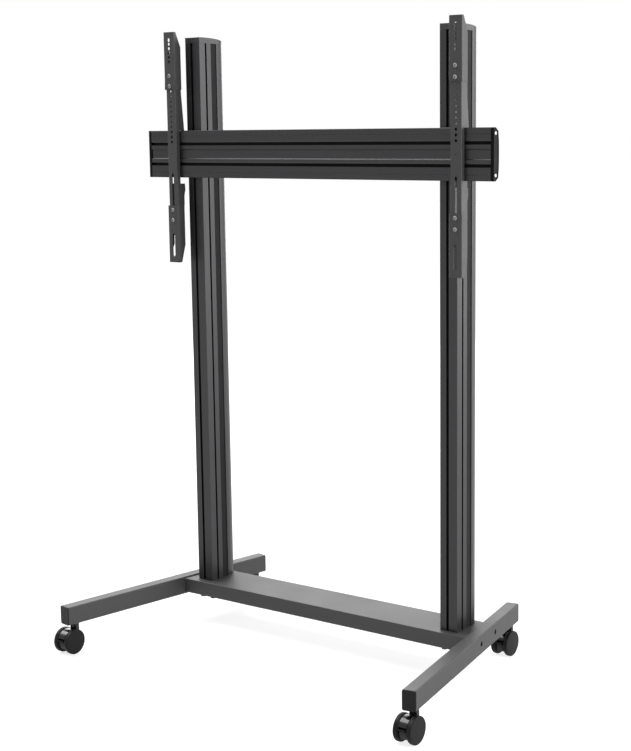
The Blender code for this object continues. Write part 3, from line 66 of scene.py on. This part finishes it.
MERGE_DISTANCE = 2e-6
FLAT_ANGLE = math.radians(0.4)
SMOOTH_ANGLE = math.radians(32)
CREASE_ANGLE = math.radians(40)
NORMAL_WEIGHT = 100
WHITE = (1.0, 1.0, 1.0, 1.0)


class Side(Enum):
    """The two sides of the cart or of a caster, as the viewer in front of the cart sees them."""

    LEFT = -1
    RIGHT = 1

    @property
    def word(self) -> str:
        """The side's name inside node and body names."""
        return self.name.lower()

    @property
    def outward(self) -> Matrix:
        """The turn that points a shape made along +Z to this side."""
        to_right = Matrix.Rotation(math.pi / 2, 4, "Y")
        return to_right if self is Side.RIGHT else Matrix.Rotation(math.pi, 4, "Z") @ to_right


class End(Enum):
    """The two ends of a leg."""

    FRONT = "front"
    REAR = "rear"


# Finishes


class Graph:
    """A material's node tree, with short calls to add and join nodes."""

    NOISE_LOW = 0.3
    NOISE_HIGH = 0.7

    def __init__(self, name: str) -> None:
        """Starts a material with a plain Principled surface.

        Args:
            name: The material's name.
        """
        self.material = bpy.data.materials.new(name)
        self.material.use_nodes = True
        self.tree = self.material.node_tree
        self.tree.nodes.clear()
        self.shader = self.add("ShaderNodeBsdfPrincipled")
        output = self.add("ShaderNodeOutputMaterial")
        self.join(self.shader, "BSDF", output, "Surface")

    def add(self, kind: str, **values: object) -> bpy.types.Node:
        """Adds a node and sets its own properties.

        Args:
            kind: The node's Blender type.
            **values: Its properties by name.

        Returns:
            The new node.
        """
        node = self.tree.nodes.new(kind)
        for name, value in values.items():
            setattr(node, name, value)
        return node

    def join(self, source: bpy.types.Node, out: str, target: bpy.types.Node, into: str) -> None:
        """Links one node's named output to another's named input."""
        self.tree.links.new(source.outputs[out], target.inputs[into])

    def noise(self, scale: Triple, detail: float, offset: Triple = (0.0, 0.0, 0.0)) -> bpy.types.Node:
        """Adds a noise texture on Object coordinates, with its own scale along each axis.

        Args:
            scale: Cells to the metre along X, Y and Z.
            detail: Octaves of finer noise.
            offset: Where the pattern starts.

        Returns:
            The noise node, whose first output runs from 0 to 1.
        """
        place = self.add("ShaderNodeTexCoord")
        mapping = self.add("ShaderNodeMapping")
        mapping.inputs["Scale"].default_value = scale
        mapping.inputs["Location"].default_value = offset
        texture = self.add("ShaderNodeTexNoise", noise_dimensions="3D")
        texture.inputs["Scale"].default_value = 1.0
        texture.inputs["Detail"].default_value = detail
        self.join(place, "Object", mapping, "Vector")
        self.join(mapping, "Vector", texture, "Vector")
        return texture

    def spread(self, texture: bpy.types.Node, low: float, high: float) -> bpy.types.Node:
        """Maps the middle of a noise's range onto two values.

        Args:
            texture: The noise node.
            low: Value at the low end of that middle.
            high: Value at its high end.

        Returns:
            The mapping node, whose output is Result.
        """
        node = self.add("ShaderNodeMapRange")
        node.inputs["From Min"].default_value = self.NOISE_LOW
        node.inputs["From Max"].default_value = self.NOISE_HIGH
        node.inputs["To Min"].default_value = low
        node.inputs["To Max"].default_value = high
        self.tree.links.new(texture.outputs[0], node.inputs["Value"])
        return node

    def tones(self, texture: bpy.types.Node, dark: Colour, light: Colour) -> bpy.types.Node:
        """Colours the middle of a noise's range from a dark tone to a light one.

        Args:
            texture: The noise node.
            dark: Colour at the low end of that middle.
            light: Colour at its high end.

        Returns:
            The ramp node, whose output is Color.
        """
        ramp = self.add("ShaderNodeValToRGB")
        ramp.color_ramp.elements[0].position = self.NOISE_LOW
        ramp.color_ramp.elements[0].color = (*dark, 1.0)
        ramp.color_ramp.elements[1].position = self.NOISE_HIGH
        ramp.color_ramp.elements[1].color = (*light, 1.0)
        self.tree.links.new(texture.outputs[0], ramp.inputs["Fac"])
        return ramp

    def bump(self, texture: bpy.types.Node, depth: float) -> None:
        """Raises the surface by a texture.

        Args:
            texture: The texture node.
            depth: Metres from the texture's low to its high.
        """
        node = self.add("ShaderNodeBump")
        node.inputs["Distance"].default_value = depth
        self.tree.links.new(texture.outputs[0], node.inputs["Height"])
        self.join(node, "Normal", self.shader, "Normal")


@dataclass(frozen=True)
class Finish:
    """A surface finish: a colour with fine grain in relief and broad, faint clouds in its gloss."""

    name: str
    slot: str
    colour: Colour
    roughness: float
    metallic: float = 0.0
    specular: float = 0.5
    edge_tint: float = 1.0
    coat: float = 0.0
    coat_roughness: float = 0.12
    grain: Triple = (1400.0, 1400.0, 1400.0)
    grain_depth: float = 0.00004
    grain_detail: float = 2.0
    tone: float = 0.08
    clouds: Triple = (9.0, 9.0, 9.0)
    cloud_detail: float = 3.0
    cloud_start: Triple = (3.1, 1.7, 0.4)
    gloss_spread: float = 0.04

    def build(self) -> bpy.types.Material:
        """Makes the node material.

        Returns:
            The material, named after the finish.
        """
        graph = Graph(self.name)
        shader = graph.shader
        shader.inputs["Metallic"].default_value = self.metallic
        shader.inputs["Specular IOR Level"].default_value = self.specular
        shader.inputs["Specular Tint"].default_value = (self.edge_tint, self.edge_tint, self.edge_tint, 1.0)
        shader.inputs["Coat Weight"].default_value = self.coat
        shader.inputs["Coat Roughness"].default_value = self.coat_roughness
        grain = graph.noise(self.grain, self.grain_detail)
        dark = tuple(value * (1.0 - self.tone) for value in self.colour)
        light = tuple(value * (1.0 + self.tone) for value in self.colour)
        graph.join(graph.tones(grain, dark, light), "Color", shader, "Base Color")
        clouds = graph.noise(self.clouds, self.cloud_detail, self.cloud_start)
        low, high = self.roughness - self.gloss_spread, self.roughness + self.gloss_spread
        graph.join(graph.spread(clouds, low, high), "Result", shader, "Roughness")
        graph.bump(grain, self.grain_depth)
        return graph.material


# The lines and clouds of drawn metal are close together across a profile and long along it
UPRIGHT_LINES = (2200.0, 2200.0, 6.0)
UPRIGHT_CLOUDS = (14.0, 14.0, 1.5)
CROSS_LINES = (6.0, 2200.0, 2200.0)
CROSS_CLOUDS = (1.5, 14.0, 14.0)
PLATING_GRAIN = (900.0, 900.0, 900.0)
POLISHED_GRAIN = (90.0, 90.0, 90.0)

FINISHES = {
    finish.name: finish
    for finish in (
        Finish(
            "upright_anodised", "anodised", (0.040, 0.040, 0.042), 0.38, metallic=0.75,
            grain=UPRIGHT_LINES, grain_depth=0.00001, tone=0.10, clouds=UPRIGHT_CLOUDS, gloss_spread=0.03,
        ),
        Finish(
            "cross_anodised", "anodised", (0.049, 0.049, 0.051), 0.38, metallic=0.75, edge_tint=0.3,
            grain=CROSS_LINES, grain_depth=0.00001, tone=0.10, clouds=CROSS_CLOUDS, gloss_spread=0.03,
        ),
        Finish("cast_anodised", "anodised", (0.050, 0.050, 0.052), 0.42, metallic=0.75, grain_depth=0.00002),
        # Near-black matte finish for the rail's groove walls and floors: painted shade for the dark inside of
        # the slots
        Finish(
            "slot_shade", "anodised", (0.006, 0.006, 0.006), 0.65, specular=0.1,
            grain=CROSS_LINES, grain_depth=0.00001,
        ),
        Finish(
            "leg_powder", "leg_coat", (0.029, 0.029, 0.030), 0.58, specular=0.60,
            grain_depth=0.00003, gloss_spread=0.02,
        ),
        Finish("arm_powder", "arm_coat", (0.048, 0.048, 0.049), 0.50, specular=0.40, grain_depth=0.00003),
        Finish(
            "leg_cap_plastic", "dark_plastic", (0.012, 0.012, 0.012), 0.50, specular=0.18,
            grain_depth=0.00005,
        ),
        Finish(
            "rail_cap_plastic", "dark_plastic", (0.004, 0.004, 0.004), 0.50, specular=0.06,
            grain_depth=0.00005,
        ),
        Finish(
            "strip_plastic", "strip_plastic", (0.010, 0.010, 0.010), 0.60, specular=0.12,
            grain_depth=0.00005,
        ),
        Finish(
            "hood_gloss", "caster_gloss", (0.003, 0.003, 0.003), 0.17, specular=0.30, coat=0.15,
            grain=POLISHED_GRAIN, grain_depth=0.00002, gloss_spread=0.02,
        ),
        Finish("drum_matte", "caster_gloss", (0.030, 0.030, 0.031), 0.60, specular=0.25, grain_depth=0.00003),
        Finish(
            "wheel_plastic", "wheel_plastic", (0.010, 0.010, 0.010), 0.46, specular=0.12,
            grain_depth=0.00003,
        ),
        Finish(
            "zinc_plate", "bright_steel", (0.32, 0.32, 0.33), 0.34, metallic=1.0,
            grain=PLATING_GRAIN, grain_depth=0.00001,
        ),
        Finish(
            "dull_zinc", "bright_steel", (0.24, 0.24, 0.245), 0.62, metallic=0.7,
            grain=PLATING_GRAIN, grain_depth=0.00001,
        ),
        Finish("black_oxide", "dark_steel", (0.08, 0.08, 0.08), 0.42, metallic=0.9, grain_depth=0.00002),
    )
}


class Paintbox:
    """Builds each finish once and hands it out by name."""

    def __init__(self) -> None:
        """Starts with no materials made."""
        self.made: dict[str, bpy.types.Material] = {}

    def material(self, name: str) -> bpy.types.Material:
        """Gives a finish's material, made when it is first asked for.

        Args:
            name: The finish's name.

        Returns:
            Its node material.
        """
        if name not in self.made:
            self.made[name] = FINISHES[name].build()
        return self.made[name]


# Mesh workshop


@dataclass
class Workshop:
    """Turns bmesh shapes into finished pieces that ride on the frame's bodies."""

    paints: Paintbox = field(default_factory=Paintbox)

    def place(
        self,
        name: str,
        bm: bmesh.types.BMesh,
        finish: str,
        body: str,
        stands_for: Sequence[str] = (),
        smooth: float = SMOOTH_ANGLE,
    ) -> bpy.types.Object:
        """Finishes a bmesh as a piece of the model.

        Args:
            name: The piece's name.
            bm: Its shape, in world coordinates; freed here.
            finish: Name of its finish.
            body: The CAD body that it moves with.
            stands_for: CAD nodes that it replaces.
            smooth: Edges sharper than this stay creased.

        Returns:
            The new object.
        """
        for face in bm.faces:
            face.smooth = True
        for edge in bm.edges:
            edge.smooth = not crease(edge, smooth)
        mesh = bpy.data.meshes.new(name)
        bm.to_mesh(mesh)
        bm.free()
        mesh.materials.append(self.paints.material(finish))
        piece = bpy.data.objects.new(name, mesh)
        bpy.context.scene.collection.objects.link(piece)
        weighted = piece.modifiers.new("weighted_normals", "WEIGHTED_NORMAL")
        weighted.keep_sharp = True
        weighted.weight = NORMAL_WEIGHT
        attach(piece, body)
        if stands_for:
            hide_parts(*stands_for)
        LOG.info("placed %s on %s, %d faces", name, body, len(mesh.polygons))
        return piece

    def shade(self, piece: bpy.types.Object, finish: str, chosen: FaceTest) -> None:
        """Gives some faces of a piece a second finish.

        Args:
            piece: The piece.
            finish: Name of the second finish.
            chosen: Says which faces get it.
        """
        piece.data.materials.append(self.paints.material(finish))
        bm = bmesh.new()
        bm.from_mesh(piece.data)
        for face in bm.faces:
            if chosen(face):
                face.material_index = len(piece.data.materials) - 1
        bm.to_mesh(piece.data)
        bm.free()

    def refine(
        self,
        node: str,
        finish: str,
        body: str,
        softened: Optional[EdgeTest] = None,
        width: float = 0.0,
        segments: int = 2,
        smooth: float = SMOOTH_ANGLE,
        reshape: Optional[Reshape] = None,
    ) -> bpy.types.Object:
        """Replaces a CAD node with a copy whose facets shade smooth and whose chosen edges are rounded.

        Args:
            node: The CAD node.
            finish: Name of the copy's finish.
            body: The body that it rides on.
            softened: Says which edges are rounded; none if left out.
            width: Size of the rounding, given wherever edges are chosen.
            segments: Facets across the rounding.
            smooth: Edges sharper than this stay creased.
            reshape: Changes the copy before its edges are rounded; nothing if left out.

        Returns:
            The new piece.
        """
        bm = bmesh.new()
        bm.from_mesh(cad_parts[node].data)
        bmesh.ops.remove_doubles(bm, verts=bm.verts, dist=MERGE_DISTANCE)
        bmesh.ops.dissolve_limit(bm, angle_limit=FLAT_ANGLE, verts=bm.verts, edges=bm.edges)
        bmesh.ops.recalc_face_normals(bm, faces=bm.faces)
        if reshape:
            reshape(bm)
        if softened:
            edges = [edge for edge in bm.edges if len(edge.link_faces) == 2 and softened(edge)]
            bmesh.ops.bevel(
                bm, geom=edges, offset=width, segments=segments, profile=0.5, affect="EDGES", material=-1,
                clamp_overlap=True,
            )
        return self.place(f"{node}_skin", bm, finish, body, [node], smooth)


def lathe(profile: Sequence[Pair], place: Matrix, steps: int) -> bmesh.types.BMesh:
    """Makes a turned shape.

    Args:
        profile: Distance along the axis and radius of each point.
        place: Where the axis's start goes; the axis is the shape's +Z.
        steps: Facets round.

    Returns:
        A closed bmesh in world coordinates.
    """
    bm = bmesh.new()
    points = [bm.verts.new((radius, 0.0, along)) for along, radius in profile]
    edges = [bm.edges.new(pair) for pair in zip(points, points[1:])]
    bmesh.ops.spin(
        bm, geom=[*points, *edges], cent=(0, 0, 0), axis=(0, 0, 1), angle=2 * math.pi, steps=steps,
        use_merge=True,
    )
    bmesh.ops.remove_doubles(bm, verts=bm.verts, dist=MERGE_DISTANCE)
    bmesh.ops.recalc_face_normals(bm, faces=bm.faces)
    bmesh.ops.transform(bm, matrix=place, verts=bm.verts)
    return bm


def arc(centre: Pair, radius: float, start: float, end: float, steps: int) -> list[Pair]:
    """Points of an arc, its angles in degrees."""
    angles = [math.radians(start + (end - start) * i / steps) for i in range(steps + 1)]
    return [(centre[0] + radius * math.cos(a), centre[1] + radius * math.sin(a)) for a in angles]


def middle(node: str) -> Vector:
    """The middle of a CAD node's box."""
    low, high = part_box(node)
    return (low + high) / 2


def crease(edge: bmesh.types.BMEdge, least: float = CREASE_ANGLE) -> bool:
    """Is this edge sharper than the least angle?"""
    return edge.calc_face_angle(0.0) > least


# Sub-assemblies


@dataclass
class Base:
    """The splayed legs, their crossbeam and the bolts that hold them."""

    shop: Workshop
    cap_edge: float = 0.0009
    cap_segments: int = 3
    cap_reach: float = 0.012
    end_face: float = 0.9
    head_lift: float = 0.0035
    head_reach: float = 0.001
    plate_edge: float = 0.0005

    def build(self) -> None:
        """Dresses the beam, the legs, their end caps, the foot plates and the bolts."""
        self.shop.refine("crossbeam", "leg_powder", "base")
        for side in Side:
            self.shop.refine(f"{side.word}_leg", "leg_powder", "base")
            self.foot_plate(f"{side.word}_foot_plate")
            for end in End:
                name = f"{side.word}_{end.value}"
                self.shop.refine(f"{name}_leg_bolt", "black_oxide", "base")
                self.cap(f"{name}_leg_cap", end)

    def foot_plate(self, node: str) -> None:
        """Dresses a foot plate, its bolts' heads a little flatter than the frame's.

        Args:
            node: The foot plate's node.
        """
        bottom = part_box(node)[0].z

        def flatten(bm: bmesh.types.BMesh) -> None:
            """Lifts the lowest ring of each head.

            Args:
                bm: The foot plate's copy.
            """
            for vert in bm.verts:
                if vert.co.z < bottom + self.head_reach:
                    vert.co.z += self.head_lift

        self.shop.refine(node, "black_oxide", "base", crease, self.plate_edge, reshape=flatten)

    def cap(self, node: str, end: End) -> None:
        """Dresses an end cap and rounds its outer rim.

        Args:
            node: The cap's node.
            end: The end of the leg that it closes.
        """
        low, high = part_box(node)

        def outer(y: float) -> bool:
            """Is this place close to the cap's outer end?"""
            return y < low.y + self.cap_reach if end is End.FRONT else y > high.y - self.cap_reach

        def rim(edge: bmesh.types.BMEdge) -> bool:
            """Is this edge part of the outer face's rim?"""
            faces_out = any(abs(face.normal.y) > self.end_face for face in edge.link_faces)
            return all(outer(vert.co.y) for vert in edge.verts) and faces_out and crease(edge)

        self.shop.refine(node, "leg_cap_plastic", "base", rim, self.cap_edge, self.cap_segments)


@dataclass
class Column:
    """One upright: the slotted extrusion, its snap-in strips and its cast cap."""

    shop: Workshop
    side: Side
    cap_round: float = 0.0040
    cap_segments: int = 4
    wall_rise: float = 0.1
    top_rise: float = 0.2
    strip_edge: float = 0.0003

    def build(self) -> None:
        """Dresses the extrusion, the cap and the strips."""
        word = self.side.word
        self.shop.refine(f"{word}_column", "upright_anodised", "base")
        self.cap(f"{word}_column_cap")
        for where in ("inner", "outer"):
            node = f"{word}_column_{where}_strip"
            self.shop.refine(node, "strip_plastic", "base", crease, self.strip_edge)

    def cap(self, node: str) -> None:
        """Dresses a column's cap and rounds its top's rim.

        Args:
            node: The cap's node.
        """

        def rim(edge: bmesh.types.BMEdge) -> bool:
            """Does this edge join an upright wall to the top?"""
            rises = sorted(face.normal.z for face in edge.link_faces)
            return abs(rises[0]) < self.wall_rise and rises[1] > self.top_rise and crease(edge)

        self.shop.refine(node, "cast_anodised", "base", rim, self.cap_round, self.cap_segments)


@dataclass
class Rail:
    """The cross rail with its end caps, their screws and the clamps behind it."""

    shop: Workshop
    facet_angle: float = math.radians(5)
    slot_offset: float = 0.0322
    slot_half: float = 0.0105
    slot_lip: float = 0.0010
    slot_depth: float = 0.0115
    end_face: float = 0.5
    clamp_edge: float = 0.0006
    cap_recess: float = 0.0014
    screw_back: float = 0.0097
    screw_offset: float = 0.0589
    screw_radius: float = 0.0056
    screw_height: float = 0.0026
    screw_rim_share: float = 0.35
    screw_crown_share: float = 0.55
    screw_rings: int = 6
    screw_steps: int = 32
    shank_length: float = 0.004
    shank_radius: float = 0.002
    socket_mouth: float = 0.0016
    socket_foot: float = 0.0014
    socket_depth: float = 0.0012

    def build(self) -> None:
        """Dresses the rail, paints shade inside its grooves, dresses its clamps and end caps, and screws the
        caps on.
        """
        rail = self.shop.refine("rail", "cross_anodised", "carriage", smooth=self.facet_angle)
        # The grooves' inside faces get the near-black finish: painted shade in the slots
        self.shop.shade(rail, "slot_shade", self.in_slot)
        for side in Side:
            self.shop.refine(f"{side.word}_rail_clamp", "black_oxide", "carriage", crease, self.clamp_edge)
            self.shop.refine(f"{side.word}_rail_cap", "rail_cap_plastic", "carriage")
            for way in (1, -1):
                self.cap_screw(side, way)

    def in_slot(self, face: bmesh.types.BMFace) -> bool:
        """Tells whether a face is inside one of the two front grooves, where shade is painted.

        Args:
            face: A face of the rail.

        Returns:
            True for the grooves' walls and floors.
        """
        low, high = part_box("rail")
        spot = face.calc_center_bounds()
        height = abs(abs(spot.z - (low.z + high.z) / 2) - self.slot_offset)
        deep = low.y + self.slot_lip < spot.y < low.y + self.slot_depth
        return deep and height < self.slot_half and abs(face.normal.x) < self.end_face

    def screw_profile(self) -> list[Pair]:
        """Outlines a pan-head screw: shank, rim, domed crown and shallow socket.

        Returns:
            Distance out of the cap's face and radius of each point, from the shank's end outwards.
        """
        rim = self.screw_height * self.screw_rim_share
        bulge_share = 1 - self.screw_crown_share
        angles = [math.pi / 2 * i / self.screw_rings for i in range(1, self.screw_rings)]
        floor = self.screw_height - self.socket_depth
        return [
            (-self.shank_length, 0.0),
            (-self.shank_length, self.shank_radius),
            (0.0, self.shank_radius),
            (0.0, self.screw_radius),
            (rim, self.screw_radius),
            *(
                (
                    rim + (self.screw_height - rim) * math.sin(angle),
                    self.screw_radius * (self.screw_crown_share + bulge_share * math.cos(angle)),
                )
                for angle in angles
            ),
            (self.screw_height, self.socket_mouth),
            (floor, self.socket_foot),
            (floor, 0.0),
        ]

    def cap_screw(self, side: Side, way: int) -> None:
        """Puts a plated screw on the face of an end cap.

        Args:
            side: The cap's side.
            way: 1 above the rail's middle, -1 below it.
        """
        low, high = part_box(f"{side.word}_rail_cap")
        face = (high.x if side is Side.RIGHT else -low.x) - self.cap_recess
        height = middle("rail").z + way * self.screw_offset
        place = Matrix.Translation((side.value * face, low.y + self.screw_back, height))
        word = "upper" if way > 0 else "lower"
        bm = lathe(self.screw_profile(), place @ side.outward, self.screw_steps)
        self.shop.place(f"{side.word}_cap_{word}_screw", bm, "zinc_plate", "carriage")


@dataclass
class ScreenArm:
    """One hooked arm with its two extension brackets and their screws."""

    shop: Workshop
    side: Side

    def build(self) -> None:
        """Dresses the arm, the brackets and the screws."""
        word = self.side.word
        self.shop.refine(f"{word}_arm", "arm_powder", f"{word}_arm_set")
        self.shop.refine(f"{word}_upper_bracket", "arm_powder", f"{word}_arm_set")
        self.shop.refine(f"{word}_lower_bracket", "arm_powder", f"{word}_lower_bracket_set")
        for level, body in (("upper", f"{word}_arm_set"), ("lower", f"{word}_lower_bracket_set")):
            for number in (1, 2):
                self.shop.refine(f"{word}_{level}_screw_{number}", "dull_zinc", body)


@dataclass
class Caster:
    """One twin-wheel caster: glossy hood, drum, wheels, brake pedal and stem."""

    shop: Workshop
    side: Side
    end: End
    drum_height: float = 0.026
    wheel_steps: int = 72
    bore: float = 0.0041
    bore_wall: float = 0.0022
    inner_round: float = 0.007
    inner_steps: int = 8
    outer_round: float = 0.0024
    outer_steps: int = 5
    groove: float = 0.0005
    groove_share: float = 0.86
    dome: float = 0.0006
    dome_rings: int = 6

    @property
    def name(self) -> str:
        """The caster's name inside its nodes' names."""
        return f"{self.side.word}_{self.end.value}"

    def build(self) -> None:
        """Dresses the hood, the pedal and the stem, and builds the wheels."""
        hood = self.shop.refine(f"{self.name}_fork", "hood_gloss", f"{self.name}_fork")
        low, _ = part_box(f"{self.name}_fork")
        ledge = low.z + self.drum_height
        self.shop.shade(hood, "drum_matte", lambda face: face.calc_center_bounds().z < ledge)
        self.shop.refine(f"{self.name}_brake_pedal", "wheel_plastic", f"{self.name}_brake_pedal")
        self.shop.refine(f"{self.name}_stem", "black_oxide", "base")
        for wheel in Side:
            self.wheel(wheel)

    def wheel_profile(self, width: float, rim: float) -> list[Pair]:
        """Outlines a wheel: full inner shoulder, small outer edge, ring groove and shallow dome.

        Args:
            width: The wheel's width without its dome.
            rim: The wheel's radius.

        Returns:
            Distance from the inner face and radius of each point, from the bore's end outwards.
        """
        shoulder = (self.inner_round, rim - self.inner_round)
        edge = (width - self.outer_round, rim - self.outer_round)
        ring = rim * self.groove_share
        return [
            (width - self.bore_wall, 0.0),
            (width - self.bore_wall, self.bore),
            (0.0, self.bore),
            *arc(shoulder, self.inner_round, 180, 90, self.inner_steps),
            *arc(edge, self.outer_round, 90, 0, self.outer_steps),
            (width, ring + self.groove),
            (width - self.groove, ring),
            (width, ring - self.groove),
            *(
                (width + self.dome * (1 - (k / self.dome_rings) ** 2), ring * k / self.dome_rings)
                for k in reversed(range(self.dome_rings))
            ),
        ]

    def wheel(self, wheel: Side) -> None:
        """Builds a wheel in the place and size of its node.

        Args:
            wheel: The wheel's side of the caster.
        """
        node = f"{self.name}_{wheel.word}_wheel"
        low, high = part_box(node)
        centre = (low + high) / 2
        profile = self.wheel_profile(high.x - low.x - self.dome, (high.z - low.z) / 2)
        start = low.x if wheel is Side.RIGHT else high.x
        place = Matrix.Translation((start, centre.y, centre.z))
        bm = lathe(profile, place @ wheel.outward, self.wheel_steps)
        self.shop.place(f"{node}_body", bm, "wheel_plastic", node, [node])


# Studio


@dataclass(frozen=True)
class PhotoCamera:
    """The photograph's camera, fitted to it.

    The picture's size, the focal length and the centre are in pixels of a 631 x 751 picture, the
    angles in degrees, the place and the far limit in metres, and the film's height in millimetres.
    """

    width: int = 631
    height: int = 751
    focal: float = 1464.57
    centre: Pair = (408.14, 364.84)
    yaw: float = 33.76
    pitch: float = 8.633
    roll: float = -0.241
    place: Triple = (2.7556, -3.6644, 1.6120)
    film: float = 36.0
    far: float = 100.0

    def build(self) -> None:
        """Adds the camera; its place is counted from the crossbeam's middle line."""
        yaw, pitch, roll = (math.radians(angle) for angle in (self.yaw, self.pitch, self.roll))
        ahead = Vector((-math.sin(yaw) * math.cos(pitch), math.cos(yaw) * math.cos(pitch), -math.sin(pitch)))
        right = ahead.cross(Vector((0, 0, 1))).normalized()
        up = right.cross(ahead)
        rolled_right = math.cos(roll) * right + math.sin(roll) * up
        rolled_up = math.cos(roll) * up - math.sin(roll) * right
        matrix = Matrix((rolled_right, rolled_up, -ahead)).transposed().to_4x4()
        matrix.translation = Vector(self.place) + Vector((0.0, middle("crossbeam").y, 0.0))
        data = bpy.data.cameras.new("photo_camera")
        data.sensor_fit = "VERTICAL"
        data.sensor_height = self.film
        data.lens = self.focal / self.height * self.film
        data.shift_x = (self.width / 2 - self.centre[0]) / self.height
        data.shift_y = (self.centre[1] - self.height / 2) / self.height
        data.clip_end = self.far
        camera = bpy.data.objects.new("photo_camera", data)
        camera.matrix_world = matrix
        bpy.context.scene.collection.objects.link(camera)
        bpy.context.scene.camera = camera


@dataclass(frozen=True)
class Softbox:
    """A square area lamp that looks at a point."""

    name: str
    place: Triple
    aim: Triple
    size: float
    radiance: float

    def build(self) -> None:
        """Adds the lamp, its power worked out from the radiance of its face."""
        data = bpy.data.lights.new(self.name, "AREA")
        data.shape = "SQUARE"
        data.size = self.size
        data.energy = self.radiance * math.pi * self.size * self.size
        lamp = bpy.data.objects.new(self.name, data)
        lamp.location = self.place
        direction = Vector(self.aim) - Vector(self.place)
        lamp.visible_camera = False
        lamp.rotation_euler = direction.to_track_quat("-Z", "Y").to_euler()
        bpy.context.scene.collection.objects.link(lamp)


@dataclass
class Studio:
    """White surroundings with soft lamps on the right, behind and above."""

    ambient: float = 0.12
    floor_colour: Colour = (0.35, 0.35, 0.35)
    floor_roughness: float = 0.9
    floor_lift: float = 0.80
    floor_fade: Pair = (1.0, 3.0)
    floor_half: float = 30.0
    lamps: tuple[Softbox, ...] = (
        Softbox("rear_right_softbox", (4.6, 5.0, 2.4), (0.0, 0.0, 0.9), 4.5, 3.9),
        Softbox("right_softbox", (5.5, -0.8, 2.6), (0.0, 0.0, 0.9), 3.5, 6.0),
        Softbox("rear_left_softbox", (-3.8, 5.0, 3.0), (0.0, 0.0, 0.3), 5.6, 3.0),
        Softbox("top_softbox", (-5.9, -1.3, 9.6), (0.0, 0.0, 0.3), 7.3, 8.0),
    )

    def build(self) -> None:
        """Sets the view transform, the world, the floor and the lamps."""
        bpy.context.scene.view_settings.view_transform = "Standard"
        self.world()
        self.floor()
        for lamp in self.lamps:
            lamp.build()

    @staticmethod
    def seen(tree: bpy.types.NodeTree) -> bpy.types.NodeSocket:
        """Adds a switch for what is seen or mirrored, as against what lights the object.

        Args:
            tree: The node tree that gets it.

        Returns:
            A socket that is 1 on camera, glossy and transmission rays, and 0 on others.
        """
        path = tree.nodes.new("ShaderNodeLightPath")
        total = path.outputs["Is Camera Ray"]
        for name in ("Is Glossy Ray", "Is Transmission Ray"):
            step = tree.nodes.new("ShaderNodeMath")
            step.operation = "MAXIMUM"
            tree.links.new(total, step.inputs[0])
            tree.links.new(path.outputs[name], step.inputs[1])
            total = step.outputs[0]
        return total

    def world(self) -> None:
        """Makes the world white where it is seen or mirrored, and softer as a light."""
        world = bpy.data.worlds.new("studio")
        world.use_nodes = True
        tree = world.node_tree
        background = tree.nodes["Background"]
        background.inputs["Color"].default_value = WHITE
        strength = tree.nodes.new("ShaderNodeMapRange")
        strength.inputs["To Min"].default_value = self.ambient
        strength.inputs["To Max"].default_value = 1.0
        tree.links.new(self.seen(tree), strength.inputs["Value"])
        tree.links.new(strength.outputs["Result"], background.inputs["Strength"])
        bpy.context.scene.world = world

    def floor_material(self) -> bpy.types.Material:
        """Makes a pale matte surface, lifted to white where it is seen, which keeps the shadow.

        Returns:
            The floor's material.
        """
        graph = Graph("studio_floor")
        graph.shader.inputs["Base Color"].default_value = (*self.floor_colour, 1.0)
        graph.shader.inputs["Roughness"].default_value = self.floor_roughness
        graph.shader.inputs["Specular IOR Level"].default_value = 0.0
        graph.shader.inputs["Emission Color"].default_value = WHITE
        lift = graph.add("ShaderNodeMath", operation="MULTIPLY")
        fade = graph.add("ShaderNodeMapRange")
        fade.inputs["From Min"].default_value = self.floor_fade[0]
        fade.inputs["From Max"].default_value = self.floor_fade[1]
        fade.inputs["To Min"].default_value = self.floor_lift
        fade.inputs["To Max"].default_value = 1.0
        distance = graph.add("ShaderNodeVectorMath", operation="LENGTH")
        graph.join(graph.add("ShaderNodeTexCoord"), "Object", distance, "Vector")
        graph.join(distance, "Value", fade, "Value")
        graph.tree.links.new(self.seen(graph.tree), lift.inputs[0])
        graph.tree.links.new(fade.outputs["Result"], lift.inputs[1])
        graph.join(lift, "Value", graph.shader, "Emission Strength")
        return graph.material

    def floor(self) -> None:
        """Lays the floor under the cart, as part of the stage."""
        material = self.floor_material()
        bm = bmesh.new()
        bmesh.ops.create_grid(bm, x_segments=1, y_segments=1, size=self.floor_half)
        mesh = bpy.data.meshes.new("floor")
        bm.to_mesh(mesh)
        bm.free()
        mesh.materials.append(material)
        floor = bpy.data.objects.new("floor", mesh)
        bpy.context.scene.collection.objects.link(floor)


def main() -> None:
    """Builds the studio and every sub-assembly."""
    logging.basicConfig(level=logging.INFO, format="%(message)s")
    PhotoCamera().build()
    Studio().build()
    shop = Workshop()
    Base(shop).build()
    Rail(shop).build()
    for side in Side:
        Column(shop, side).build()
        ScreenArm(shop, side).build()
        for end in End:
            Caster(shop, side, end).build()


if __name__ == "__main__":
    main()
